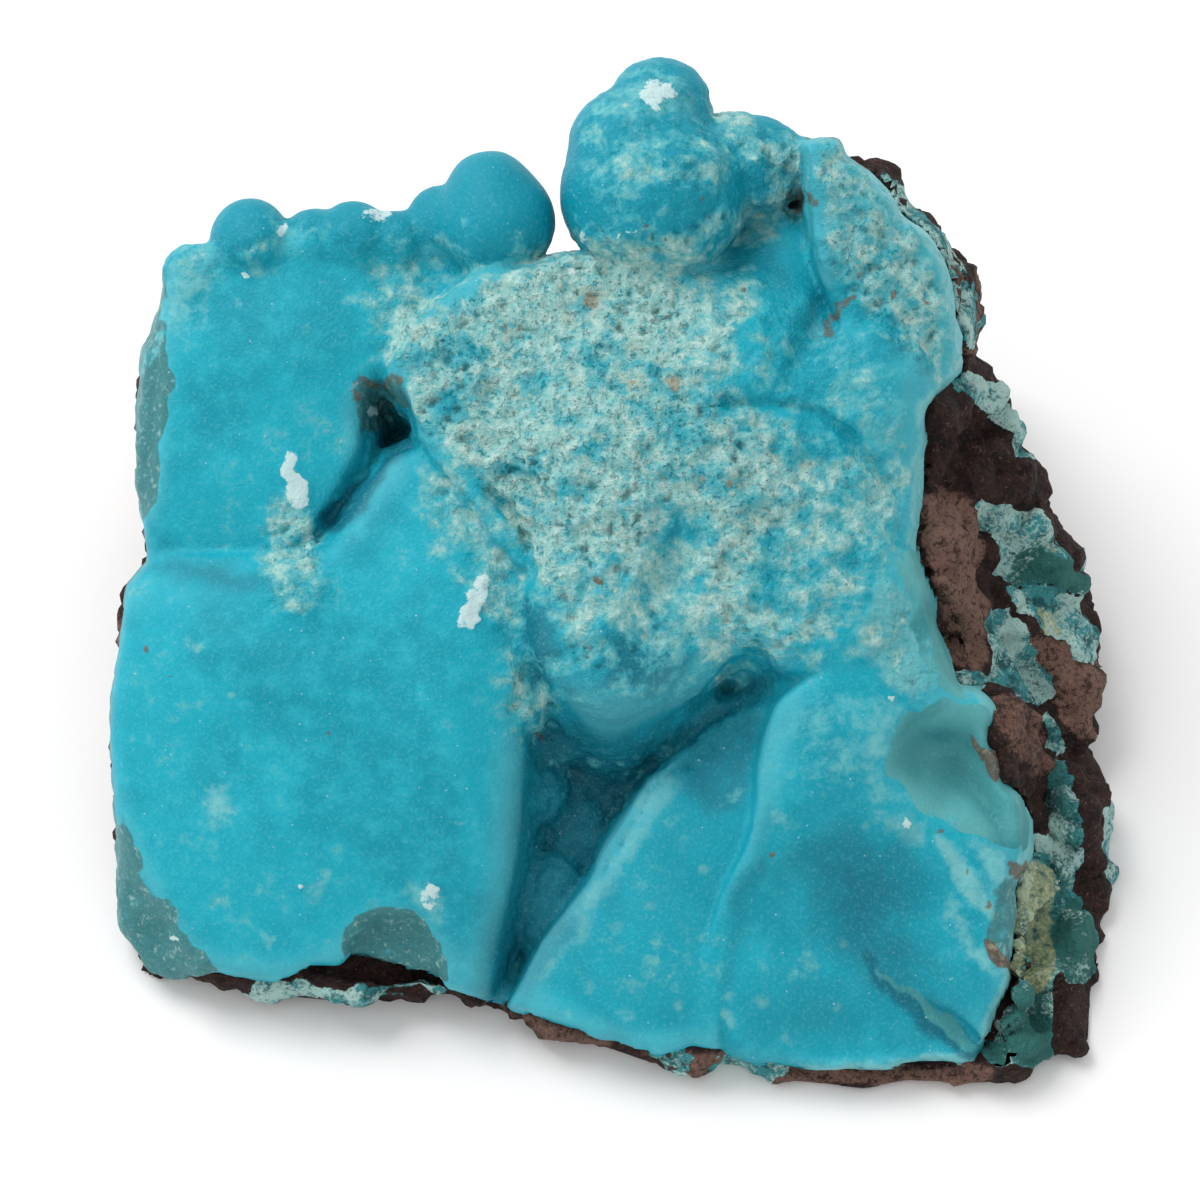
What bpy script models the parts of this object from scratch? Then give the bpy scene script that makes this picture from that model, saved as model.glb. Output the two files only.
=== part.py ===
import math

import bmesh
import bpy
import numpy as np
from mathutils import Vector

# The specimen is drawn as it shows in the photo: a place is a pixel across and down, and "near" is how
# far it stands toward the viewer, in millimetres. place() turns that into the world.
MILLIMETRE = 0.001
PIXEL = 0.058
VIEW_DISTANCE = 164.3
VIEW_TILT = math.radians(55)
MIDDLE_HEIGHT = 16.8
MIDDLE_PIXEL = 600

FRONT_STEP = 11
SEAM_STEP = 14
FRONT_TRIANGLES = 4700
SEAM_TRIANGLES = 900
SEAM_GAP = 0.5
DEEPEST = -62
BACK_AT_TABLE = 29.0
BACK_SLOPE = 0.04
FOOT_RISE = 0.11
FOOT_REACH = 20

# The outline against the background. The knobs stand out past it along the top.
OUTLINE = [
    (163, 285), (168, 262), (190, 252), (230, 236), (290, 226), (350, 214), (405, 216), (440, 232),
    (470, 262), (520, 266), (556, 254), (572, 254), (610, 250), (650, 190), (690, 118), (720, 100),
    (738, 111), (757, 113), (783, 133), (806, 140), (838, 140), (847, 158), (862, 169), (885, 178),
    (905, 198), (925, 216), (940, 237), (955, 255), (973, 290), (979, 312), (974, 338), (960, 353),
    (982, 366), (985, 385), (1007, 412), (1022, 422), (1037, 460), (1057, 512), (1090, 562), (1099, 590),
    (1093, 606), (1105, 640), (1091, 667), (1098, 692), (1090, 741), (1106, 751), (1118, 776), (1121, 835),
    (1117, 900), (1097, 946), (1093, 1000), (1086, 1055), (1052, 1053), (1022, 1078), (980, 1083),
    (905, 1080), (865, 1089), (790, 1080), (720, 1062), (690, 1057), (655, 1064), (585, 1040),
    (505, 1013), (460, 995), (400, 992), (340, 1001), (295, 997), (255, 984), (222, 976), (160, 978),
    (146, 968), (118, 920), (117, 835), (111, 740), (112, 695), (120, 640), (128, 586), (148, 562),
    (145, 530), (136, 480), (137, 420), (143, 350), (160, 303),
]

# Where the crust covers the rock. Past the stone's own outline it runs wide, so only the right side and
# the lower edge matter.
CRUST_EDGE = [
    (60, 150), (500, 60), (842, 60), (846, 158), (862, 174), (884, 198), (900, 220), (926, 238), (938, 262),
    (946, 290), (954, 320), (960, 350), (952, 375), (936, 394), (921, 410), (919, 470), (916, 520),
    (917, 552), (930, 590), (942, 640), (956, 690), (984, 690), (993, 712), (998, 744), (1016, 785),
    (1030, 821), (1028, 857), (1014, 880), (1006, 930), (1010, 975), (1000, 1000), (985, 1042), (976, 1058),
    (930, 1060), (890, 1067), (850, 1066), (820, 1070), (780, 1062), (750, 1060), (722, 1050), (690, 1048),
    (655, 1054), (620, 1040), (590, 1034), (548, 1020), (505, 1005), (480, 995), (452, 986), (442, 974),
    (420, 966), (400, 963), (366, 954), (344, 957), (330, 961), (312, 966), (296, 972), (275, 980),
    (240, 977), (210, 970), (190, 984), (160, 1010), (60, 1010),
]

# Shields: the broad sheets of crust. lean is the slope per 100 pixels across and down, dome how much the
# sheet falls by half_size from its middle, edge and drop the rounding along its outline, steep the fall
# beyond it and blend how softly it meets what lies under it.
SHIELDS = {
    "upper left": dict(
        outline=[
            (110, 300), (150, 240), (215, 232), (290, 222), (400, 212), (470, 250), (540, 300), (480, 350),
            (420, 356), (385, 376), (352, 392), (347, 425), (362, 445), (342, 482), (306, 524), (290, 560),
            (250, 592), (200, 598), (110, 600),
        ],
        middle=(270, 400), near=0.4, lean=(0.2, -0.1), dome=0.9, half_size=(160, 170),
        edge=20, drop=0.9, steep=0.12, blend=0.8,
    ),
    "lower left": dict(
        outline=[
            (424, 438), (405, 446), (385, 463), (362, 490), (345, 518), (325, 545), (300, 556), (268, 556),
            (200, 552), (90, 552), (70, 700), (80, 900), (90, 1030), (300, 1040), (470, 1050), (492, 1000),
            (504, 940), (514, 880), (522, 820), (526, 760), (528, 700), (536, 640), (552, 590), (550, 540),
            (520, 500), (470, 462),
        ],
        middle=(330, 740), near=2.6, lean=(0.45, -0.1), dome=1.9, half_size=(230, 270),
        edge=34, drop=1.3, steep=0.13, blend=0.6,
    ),
    "dome": dict(
        outline=[
            (560, 250), (600, 240), (660, 250), (720, 250), (750, 206), (800, 196), (820, 262),
            (850, 310), (890, 345), (936, 392), (925, 440), (924, 520), (904, 562), (872, 604),
            (842, 642), (818, 666), (792, 674), (752, 650), (722, 668), (690, 704), (650, 722),
            (610, 732), (576, 722), (556, 686), (542, 640), (534, 590), (534, 540), (530, 490),
            (512, 466), (508, 430), (514, 400), (530, 368), (562, 336), (590, 300),
        ],
        middle=(650, 480), near=4.6, lean=(0.0, 0.3), dome=2.6, half_size=(270, 240),
        edge=40, drop=1.7, steep=0.30, blend=0.5,
    ),
    "dome left": dict(
        outline=[
            (386, 376), (396, 336), (440, 300), (490, 262), (540, 250), (620, 262), (620, 420), (600, 600),
            (540, 590), (516, 566), (486, 530), (452, 486), (420, 440), (404, 405),
        ],
        middle=(500, 400), near=2.9, lean=(0.3, 0.0), dome=0.8, half_size=(140, 180),
        edge=14, drop=0.8, steep=0.30, blend=0.5,
    ),
    "upper right slab": dict(
        outline=[
            (806, 132), (838, 133), (854, 158), (868, 174), (890, 198), (906, 220), (932, 238), (944, 262),
            (950, 290), (958, 320), (968, 350), (960, 376), (938, 398), (905, 385), (862, 352), (838, 320),
            (822, 285), (814, 250), (810, 200),
        ],
        middle=(870, 260), near=2.7, lean=(-1.3, -0.7), dome=0.3, half_size=(80, 120),
        edge=9, drop=0.45, steep=0.40, blend=0.4,
    ),
    "lower middle": dict(
        outline=[
            (500, 1020), (520, 985), (536, 950), (562, 915), (590, 880), (602, 850), (626, 815), (645, 786),
            (668, 764), (690, 742), (722, 718), (752, 700), (785, 700), (772, 760), (764, 810), (754, 850),
            (740, 894), (728, 952), (722, 1004), (718, 1110), (560, 1100),
        ],
        middle=(640, 930), near=0.9, lean=(0.5, 0.5), dome=0.4, half_size=(140, 160),
        edge=6, drop=0.45, steep=0.40, blend=0.2,
    ),
    "lower right": dict(
        outline=[
            (712, 1110), (716, 1000), (722, 950), (734, 890), (748, 846), (758, 805), (759, 770), (766, 735),
            (778, 704), (802, 682), (840, 664), (866, 636), (882, 598), (896, 552), (912, 552), (924, 605),
            (936, 650), (952, 690), (996, 700), (1018, 760), (1024, 850), (1020, 905), (1010, 960),
            (1018, 990), (1008, 1015), (990, 1060), (990, 1110),
        ],
        middle=(850, 830), near=2.5, lean=(-0.35, -0.3), dome=0.7, half_size=(180, 260),
        edge=6, drop=0.4, steep=0.30, blend=0.2,
    ),
}

# Lobes: rounder swellings with an edge of their own.
# name: middle, half size in pixels, near at the crest, fall to the rim, blend
LOBES = {
    "dome low left": ((612, 618), (84, 104), 4.7, 2.2, 1.1),
    "dome low right": ((806, 590), (104, 84), 4.1, 1.8, 1.2),
    "dome right": ((868, 390), (62, 70), 3.4, 1.6, 1.1),
    "under the dome": ((600, 760), (120, 90), -5.0, 1.0, 1.2),
    "groove low": ((550, 908), (42, 56), -1.0, 1.6, 0.3),
    "groove side": ((556, 800), (34, 44), -2.2, 1.6, 0.7),
    "groove high": ((574, 836), (36, 50), -3.6, 1.6, 0.6),
    "rim ring": ((527, 699), (28, 34), 1.9, 1.8, 0.3),
    "rim small": ((508, 664), (20, 18), 2.0, 1.2, 0.3),
    "rim high": ((520, 630), (24, 30), 1.9, 1.4, 0.4),
    "rim low": ((558, 742), (32, 28), -0.8, 1.8, 0.5),
    "rim lower": ((540, 790), (30, 34), -0.6, 1.6, 0.7),
    "pale": ((975, 880), (48, 62), 1.9, 1.8, 0.4),
    "pale low": ((962, 968), (50, 50), 1.2, 1.6, 0.4),
    "pale high": ((930, 860), (40, 40), 2.2, 1.4, 0.4),
    "corner": ((1012, 1022), (44, 48), -1.2, 2.0, 0.4),
    "right side": ((1066, 840), (36, 66), -4.6, 2.2, 0.4),
}

# Swells: soft rises and hollows added on top. name: middle, half size, rise, turn in degrees
SWELLS = {
    "crest of the lower left": ((455, 700), (60, 170), 1.0, 0),
    "left": ((190, 680), (70, 70), 0.6, 0),
    "low": ((290, 830), (90, 70), 0.5, 0),
    "soft ridge": ((250, 660), (26, 90), 0.45, -60),
    "upper left": ((300, 350), (80, 60), 0.5, 0),
    "above the valley": ((230, 480), (70, 44), 0.4, 0),
    "pale patch": ((290, 556), (34, 50), 0.6, 0),
    "dome middle": ((640, 440), (90, 70), 0.8, 0),
    "dome upper right": ((735, 360), (60, 50), 0.6, 0),
    "dome upper left": ((560, 350), (60, 46), 0.5, 0),
    "dome lower middle": ((730, 500), (46, 70), 0.5, 20),
    "right face of the lower left": ((560, 760), (26, 70), -0.9, 0),
    "dent in the dome": ((668, 572), (24, 60), -1.3, 22),
    "hollow above the dome": ((740, 238), (50, 40), -2.0, 0),
    "step under the slab": ((815, 330), (16, 60), -0.8, 30),
    "lower right crest": ((835, 745), (70, 90), 1.2, 0),
    "lower right foot": ((800, 985), (70, 60), 0.7, 0),
    "lower right dip": ((866, 895), (66, 56), -1.0, 0),
    "lower middle top": ((712, 752), (44, 50), -0.7, 20),
    "lower middle crest": ((640, 950), (60, 60), 0.5, 0),
}

# Pits: hollows with an edge. depth in millimetres, edge in pixels
PITS = {
    "crack": dict(
        outline=[
            (424, 436), (400, 446), (383, 464), (362, 492), (346, 520), (322, 546), (304, 540), (318, 512),
            (338, 478), (352, 452), (356, 420), (372, 398), (392, 380), (404, 392), (414, 410),
        ],
        depth=1.8, edge=16,
    ),
    "hole": dict(
        outline=[
            (392, 372), (410, 392), (424, 434), (404, 444), (384, 456), (376, 440), (398, 418), (400, 396),
        ],
        depth=2.8, edge=10,
    ),
    "dark hole": dict(
        outline=[
            (712, 672), (735, 652), (756, 640), (790, 668), (784, 690), (740, 700), (706, 712),
        ],
        depth=2.6, edge=16,
    ),
    "scar": dict(
        outline=[
            (900, 704), (940, 702), (980, 704), (1000, 730), (1014, 790), (1020, 852), (1000, 850),
            (985, 838), (960, 825), (935, 825), (918, 810), (900, 795), (886, 780), (880, 756),
            (882, 736), (890, 720),
        ],
        depth=2.6, edge=50,
    ),
    "channel": dict(
        outline=[
            (872, 950), (892, 958), (925, 992), (955, 1002), (985, 1040), (975, 1052), (945, 1040),
            (915, 1008), (892, 992), (878, 968),
        ],
        depth=1.3, edge=12,
    ),
    "teal gap": dict(
        outline=[
            (470, 478), (492, 484), (520, 505), (536, 545), (530, 566), (512, 530), (488, 506),
        ],
        depth=1.0, edge=10,
    ),
    "cleft": dict(
        outline=[
            (776, 192), (812, 186), (816, 206), (790, 214), (768, 208),
        ],
        depth=2.0, edge=10,
    ),
    "left rim": dict(
        outline=[
            (166, 256), (169, 300), (165, 350), (168, 400), (162, 450), (158, 485), (150, 530), (110, 530),
            (100, 256),
        ],
        depth=0.9, edge=13,
    ),
    "left corner": dict(
        outline=[
            (112, 790), (122, 815), (132, 842), (146, 868), (162, 894), (174, 910), (184, 930), (194, 950),
            (208, 972), (214, 1000), (90, 1010), (90, 790),
        ],
        depth=1.5, edge=26,
    ),
    "bottom notch": dict(
        outline=[
            (340, 962), (348, 936), (360, 914), (383, 904), (415, 911), (430, 924), (440, 944), (452, 985),
            (400, 990), (344, 980),
        ],
        depth=1.5, edge=14,
    ),
}

# Knobs: balls along the top. name: middle, half size in pixels, near of the centre, radius toward the viewer
KNOBS = {
    "far left": ((192, 275), (30, 32), -1.6, 1.7),
    "left": ((250, 240), (40, 42), -1.4, 2.4),
    "left middle": ((313, 242), (32, 33), -1.4, 1.9),
    "middle": ((354, 236), (36, 35), -1.0, 2.0),
    "right middle": ((396, 240), (30, 30), -1.2, 1.8),
    "beside the ball": ((440, 222), (34, 36), -1.6, 2.0),
    "ball": ((495, 220), (60, 58), -0.6, 3.5),
    "ball top": ((490, 192), (42, 41), -0.6, 3.0),
    "big ball": ((654, 192), (95, 88), -0.4, 5.2),
    "big ball shoulder": ((640, 146), (72, 62), -0.6, 4.2),
    "big ball top": ((660, 106), (52, 48), -1.0, 3.0),
    "big ball right": ((742, 166), (66, 54), -1.8, 3.4),
}

# Broken rock is a heap of flat chips: each has a middle, a level and a tilt, and ends at its reach.
CHIP_COUNT = 80
CHIP_LEVEL = 1.7
CHIP_TILT = 0.42
CHIP_REACH = 2.0
CHIP_FALL = 1.2


def place(across, down, near):
    shrink = PIXEL * (VIEW_DISTANCE - near) / VIEW_DISTANCE
    right = (across - MIDDLE_PIXEL) * shrink
    up = (MIDDLE_PIXEL - down) * shrink
    y = up * math.sin(VIEW_TILT) - near * math.cos(VIEW_TILT)
    z = MIDDLE_HEIGHT + up * math.cos(VIEW_TILT) + near * math.sin(VIEW_TILT)
    return Vector((right, y, z)) * MILLIMETRE


def outlineDistance(outline, across, down):
    corners = np.asarray(outline, float)
    nearest = np.full(across.shape, 1e9)
    inside = np.zeros(across.shape, bool)
    for start, end in zip(corners, np.roll(corners, -1, axis=0)):
        side = end - start
        along = ((across - start[0]) * side[0] + (down - start[1]) * side[1]) / (side @ side)
        along = np.clip(along, 0, 1)
        gap = np.hypot(across - start[0] - along * side[0], down - start[1] - along * side[1])
        nearest = np.minimum(nearest, gap)
        if start[1] != end[1]:
            crosses = (start[1] > down) != (end[1] > down)
            inside ^= crosses & (across < start[0] + (down - start[1]) / side[1] * side[0])
    return np.where(inside, nearest, -nearest)


def rounded(outline):
    corners = np.asarray(outline, float)
    following = np.roll(corners, -1, axis=0)
    cut = np.stack([0.78 * corners + 0.22 * following, 0.22 * corners + 0.78 * following], 1)
    return cut.reshape(-1, 2)


def softMax(first, second, blend):
    closeness = np.clip(blend - np.abs(first - second), 0, None) / blend
    return np.maximum(first, second) + closeness ** 2 * blend / 4


def easeIn(value):
    value = np.clip(value, 0, 1)
    return value * value * (3 - 2 * value)


def roundOver(distance, edge):
    share = np.clip(distance / edge, 0, 1)
    return 1 - np.sqrt(1 - (1 - share) ** 2)


def shieldNear(shield, across, down):
    dx = across - shield["middle"][0]
    dy = down - shield["middle"][1]
    near = shield["near"] + (shield["lean"][0] * dx + shield["lean"][1] * dy) / 100
    near = near - shield["dome"] * ((dx / shield["half_size"][0]) ** 2 + (dy / shield["half_size"][1]) ** 2)
    distance = outlineDistance(rounded(shield["outline"]), across, down)
    near = near - shield["drop"] * roundOver(distance, shield["edge"])
    return near + shield["steep"] * np.minimum(distance, 0)


def lobeNear(middle, halfSize, crest, fall, across, down):
    reach = np.hypot((across - middle[0]) / halfSize[0], (down - middle[1]) / halfSize[1])
    cap = 1 - np.sqrt(np.clip(1 - reach ** 2, 0, None))
    return crest - fall * cap - np.clip(reach - 1, 0, None) * 5 * fall


def swellRise(middle, halfSize, rise, turn, across, down):
    angle = math.radians(turn)
    dx = across - middle[0]
    dy = down - middle[1]
    along = dx * math.cos(angle) + dy * math.sin(angle)
    beside = dy * math.cos(angle) - dx * math.sin(angle)
    return rise * np.exp(-((along / halfSize[0]) ** 2 + (beside / halfSize[1]) ** 2))


def chips(seed, across, down, spread):
    dice = np.random.RandomState(seed)
    level = np.full(across.shape, -1e9)
    for number in range(CHIP_COUNT):
        middle = dice.uniform(spread[0], spread[1]), dice.uniform(spread[2], spread[3])
        tilt = dice.uniform(-CHIP_TILT, CHIP_TILT, 2)
        top = dice.uniform(-CHIP_LEVEL, 0)
        dx = (across - middle[0]) * PIXEL
        dy = (down - middle[1]) * PIXEL
        past = np.clip(np.hypot(dx, dy) - CHIP_REACH, 0, None)
        level = np.maximum(level, top + tilt[0] * dx + tilt[1] * dy - CHIP_FALL * past)
    return np.clip(level + CHIP_LEVEL, 0, CHIP_LEVEL)


def tableNear(down):
    up = (MIDDLE_PIXEL - down) * PIXEL
    return -(MIDDLE_HEIGHT + up * math.cos(VIEW_TILT)) / math.sin(VIEW_TILT)


def rockNear(across, down):
    leftOfDome = np.full(across.shape, -6.4)
    right = -1.4 - 0.052 * np.abs(across - 925) - 0.06 * np.clip(925 - across, 0, None)
    ground = np.where(across > 925, right, np.maximum(leftOfDome, right))
    # along the lower edge the rock stands up from the table as a rough wall
    inside = np.clip(outlineDistance(OUTLINE, across, down), 0, FOOT_REACH)
    return softMax(ground, tableNear(down) + 1.2 + FOOT_RISE * inside, 1.0)


def frontNear(across, down):
    near = rockNear(across, down)
    for shield in SHIELDS.values():
        near = softMax(near, shieldNear(shield, across, down), shield["blend"])
    for middle, halfSize, crest, fall, blend in LOBES.values():
        near = softMax(near, lobeNear(middle, halfSize, crest, fall, across, down), blend)
    for swell in SWELLS.values():
        near = near + swellRise(*swell, across, down)
    for pit in PITS.values():
        distance = outlineDistance(rounded(pit["outline"]), across, down)
        near = near - pit["depth"] * easeIn(distance / pit["edge"])
    outsideCrust = -outlineDistance(CRUST_EDGE, across, down)
    broken = chips(7, across, down, (850, 1130, 180, 1100))
    near = near - (1.0 - 1.1 * broken * easeIn(outsideCrust / 30)) * easeIn((outsideCrust + 4) / 12)
    near = near - 0.8 * roundOver(outlineDistance(OUTLINE, across, down), 14)
    return softMax(near, tableNear(down) + 1.0, 0.6)


def seamNear(across, down):
    inside = outlineDistance(CRUST_EDGE, across, down)
    thickness = 4.2 + 3.2 * easeIn((330 - down) / 60)
    under = frontNear(across, down)
    for reach, rise in ((12, 0.8), (24, 1.5), (38, 2.4), (54, 3.4)):
        for turn in np.arange(8) * math.pi / 4:
            aside = frontNear(across + reach * math.cos(turn), down + reach * math.sin(turn))
            under = np.minimum(under, aside + rise)
    covered = under - 1.0 - (thickness - 1.0) * easeIn(inside / 46)
    bare = frontNear(across, down) + 0.4 + 0.10 * (-inside)
    share = easeIn((inside + 14) / 18)
    return np.maximum(share * covered + (1 - share) * bare, tableNear(down) + 1.5)


def makeObject(name, mesh):
    thing = bpy.data.objects.new(name, mesh)
    bpy.context.scene.collection.objects.link(thing)
    return thing


def sheet(name, step, depthOf, triangles, offset=0.0, margin=60):
    # a height field over the whole picture, thinned where it is plain, then closed to a slab behind
    across = np.arange(100 - margin, 1130 + margin, step, dtype=float)
    down = np.arange(60 - margin, 1090 + margin, step, dtype=float)
    acrossGrid, downGrid = np.meshgrid(across, down)
    nears = depthOf(acrossGrid, downGrid) + offset
    shape = bmesh.new()
    rows = []
    for row in range(len(down)):
        places = zip(acrossGrid[row], downGrid[row], nears[row])
        rows.append([shape.verts.new(place(a, d, n)) for a, d, n in places])
    for upper, lower in zip(rows, rows[1:]):
        for column in range(len(across) - 1):
            shape.faces.new((upper[column], lower[column], lower[column + 1], upper[column + 1]))
    mesh = bpy.data.meshes.new(name)
    shape.to_mesh(mesh)
    shape.free()
    thing = makeObject(name, mesh)
    thin = thing.modifiers.new("thin", "DECIMATE")
    thin.decimate_type = "COLLAPSE"
    thin.ratio = triangles / (2.0 * (len(across) - 1) * (len(down) - 1))
    bake(thing)
    closeBehind(thing)
    return thing


def bake(thing):
    graph = bpy.context.evaluated_depsgraph_get()
    mesh = bpy.data.meshes.new_from_object(thing.evaluated_get(graph))
    thing.modifiers.clear()
    thing.data = mesh


def closeBehind(thing):
    shape = bmesh.new()
    shape.from_mesh(thing.data)
    backward = place(MIDDLE_PIXEL, MIDDLE_PIXEL, DEEPEST) - place(MIDDLE_PIXEL, MIDDLE_PIXEL, 0)
    rim = [edge for edge in shape.edges if edge.is_boundary]
    walls = bmesh.ops.extrude_edge_only(shape, edges=rim)
    moved = [item for item in walls["geom"] if isinstance(item, bmesh.types.BMVert)]
    for vertex in moved:
        vertex.co += backward
    middle = sum((vertex.co for vertex in moved), Vector()) / len(moved)
    flat = backward.normalized()
    for vertex in moved:
        vertex.co -= flat * (vertex.co - middle).dot(flat)
    rim = [edge for edge in shape.edges if edge.is_boundary]
    bmesh.ops.contextual_create(shape, geom=rim)
    bmesh.ops.recalc_face_normals(shape, faces=shape.faces)
    shape.to_mesh(thing.data)
    shape.free()


def outlineColumn():
    # the outline carried back along the view, drawing in behind the rim as broken stone does
    layers = [
        (14, 0.0, 0.0), (-5, 0.0, 0.0), (-8, 0.008, 0.012), (-12, 0.012, 0.022), (-17, 0.022, 0.022),
        (-23, 0.020, 0.034), (-30, 0.036, 0.03), (-38, 0.036, 0.04), (-50, 0.05, 0.03),
    ]
    dice = np.random.RandomState(3)
    centre = np.array([610.0, 620.0])
    shape = bmesh.new()
    rings = []
    for near, drawIn, rough in layers:
        ring = []
        for corner in OUTLINE:
            pulled = drawIn + rough * dice.uniform(0, 1)
            across, down = centre + (np.array(corner) - centre) * (1 - pulled)
            ring.append(shape.verts.new(place(across, down, near)))
        rings.append(ring)
    for upper, lower in zip(rings, rings[1:]):
        for first in range(len(OUTLINE)):
            second = (first + 1) % len(OUTLINE)
            shape.faces.new((upper[first], upper[second], lower[second], lower[first]))
    shape.faces.new(rings[0])
    shape.faces.new(rings[-1])
    bmesh.ops.triangulate(shape, faces=shape.faces)
    bmesh.ops.recalc_face_normals(shape, faces=shape.faces)
    mesh = bpy.data.meshes.new("outline column")
    shape.to_mesh(mesh)
    shape.free()
    return makeObject("outline column", mesh)


def tableAndBack():
    # everything over the table and in front of the broken back
    half = 60.0
    wide = np.linspace(-half, half, 31)
    high = np.linspace(0.0, half, 17)
    wideGrid, highGrid = np.meshgrid(wide, high)
    lumps = chips(11, wideGrid / PIXEL, highGrid / PIXEL, (-600, 600, 0, 700))
    back = BACK_AT_TABLE - BACK_SLOPE * highGrid + 1.6 * lumps - 0.004 * wideGrid ** 2
    shape = bmesh.new()
    near = []
    far = []
    for row in range(len(high)):
        across = zip(wide, back[row])
        far.append([shape.verts.new(Vector((x, y, high[row])) * MILLIMETRE) for x, y in across])
        near.append([shape.verts.new(Vector((x, -half, high[row])) * MILLIMETRE) for x in (-half, half)])
    for upper, lower in zip(far, far[1:]):
        for column in range(len(wide) - 1):
            shape.faces.new((upper[column], lower[column], lower[column + 1], upper[column + 1]))
    for row in range(len(high) - 1):
        shape.faces.new((near[row][0], near[row + 1][0], far[row + 1][0], far[row][0]))
        shape.faces.new((near[row][1], far[row][-1], far[row + 1][-1], near[row + 1][1]))
    shape.faces.new([near[0][0]] + far[0] + [near[0][1]])
    shape.faces.new([near[-1][0]] + far[-1] + [near[-1][1]])
    shape.faces.new([pair[0] for pair in near] + [pair[1] for pair in reversed(near)])
    bmesh.ops.triangulate(shape, faces=shape.faces)
    bmesh.ops.recalc_face_normals(shape, faces=shape.faces)
    mesh = bpy.data.meshes.new("table and back")
    shape.to_mesh(mesh)
    shape.free()
    return makeObject("table and back", mesh)


def knobBall(name, middle, halfSize, near, radius):
    ball = bmesh.new()
    bmesh.ops.create_icosphere(ball, subdivisions=3, radius=1.0)
    for vertex in ball.verts:
        unit = vertex.co
        across = middle[0] + unit.x * halfSize[0]
        down = middle[1] - unit.y * halfSize[1]
        vertex.co = place(across, down, near + unit.z * radius)
    bmesh.ops.recalc_face_normals(ball, faces=ball.faces)
    mesh = bpy.data.meshes.new(name)
    ball.to_mesh(mesh)
    ball.free()
    thing = makeObject(name, mesh)
    thin = thing.modifiers.new("thin", "DECIMATE")
    thin.ratio = 0.22
    bake(thing)
    return thing


def combine(thing, other, operation):
    step = thing.modifiers.new(operation, "BOOLEAN")
    step.operation = operation
    step.solver = "EXACT"
    step.object = other
    bake(thing)


def copyOf(thing, name):
    return makeObject(name, thing.data.copy())


def keepLargest(thing):
    shape = bmesh.new()
    shape.from_mesh(thing.data)
    left = set(shape.verts)
    groups = []
    while left:
        group = set()
        waiting = [left.pop()]
        while waiting:
            vertex = waiting.pop()
            group.add(vertex)
            for edge in vertex.link_edges:
                other = edge.other_vert(vertex)
                if other in left:
                    left.remove(other)
                    waiting.append(other)
        groups.append(group)
    groups.sort(key=len)
    for group in groups[:-1]:
        bmesh.ops.delete(shape, geom=list(group), context="VERTS")
    shape.to_mesh(thing.data)
    shape.free()


def tidyMesh(thing):
    shape = bmesh.new()
    shape.from_mesh(thing.data)
    bmesh.ops.remove_doubles(shape, verts=shape.verts, dist=0.000001)
    bmesh.ops.dissolve_degenerate(shape, edges=shape.edges, dist=0.000001)
    bmesh.ops.triangulate(shape, faces=shape.faces)
    shape.to_mesh(thing.data)
    shape.free()


def stoneMaterial(name, colour, roughness):
    material = bpy.data.materials.new(name)
    material.use_nodes = True
    surface = material.node_tree.nodes["Principled BSDF"]
    surface.inputs["Base Color"].default_value = (*colour, 1.0)
    surface.inputs["Roughness"].default_value = roughness
    surface.inputs["Metallic"].default_value = 0.0
    return material


def centreOnOrigin(things):
    corners = [vertex.co for thing in things for vertex in thing.data.vertices]
    middleX = (min(c.x for c in corners) + max(c.x for c in corners)) / 2
    middleY = (min(c.y for c in corners) + max(c.y for c in corners)) / 2
    for thing in things:
        for vertex in thing.data.vertices:
            vertex.co.x -= middleX
            vertex.co.y -= middleY
    print("moved by", round(-middleX * 1000, 3), round(-middleY * 1000, 3), "mm")


for old in list(bpy.data.objects):
    bpy.data.objects.remove(old, do_unlink=True)

stone = sheet("stone", FRONT_STEP, frontNear, FRONT_TRIANGLES)
column = outlineColumn()
block = tableAndBack()
combine(stone, column, "INTERSECT")
combine(stone, block, "INTERSECT")

below = sheet("below the seam", SEAM_STEP, seamNear, SEAM_TRIANGLES, -SEAM_GAP / 2)
above = copyOf(below, "above the seam")
eye = place(MIDDLE_PIXEL, MIDDLE_PIXEL, VIEW_DISTANCE)
for vertex in above.data.vertices:
    vertex.co += (eye - vertex.co).normalized() * SEAM_GAP * MILLIMETRE

crust = copyOf(stone, "smithsonite_crust")
matrix = stone
matrix.name = "ironstone_matrix"
combine(crust, above, "DIFFERENCE")
combine(matrix, below, "INTERSECT")
keepLargest(crust)
keepLargest(matrix)
for knobName, (middle, halfSize, near, radius) in KNOBS.items():
    combine(crust, knobBall(knobName, middle, halfSize, near, radius), "UNION")
for piece in (crust, matrix):
    tidyMesh(piece)

crust.data.materials.clear()
crust.data.materials.append(stoneMaterial("smithsonite", (0.06, 0.42, 0.50), 0.42))
matrix.data.materials.clear()
matrix.data.materials.append(stoneMaterial("ironstone", (0.09, 0.045, 0.032), 0.85))
centreOnOrigin([crust, matrix])

for helper in list(bpy.data.objects):
    if helper not in (crust, matrix):
        bpy.data.objects.remove(helper, do_unlink=True)
for piece in (crust, matrix):
    piece.data.calc_loop_triangles()
    print(piece.name, len(piece.data.loop_triangles), "triangles")
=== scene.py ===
import math
import time

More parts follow.
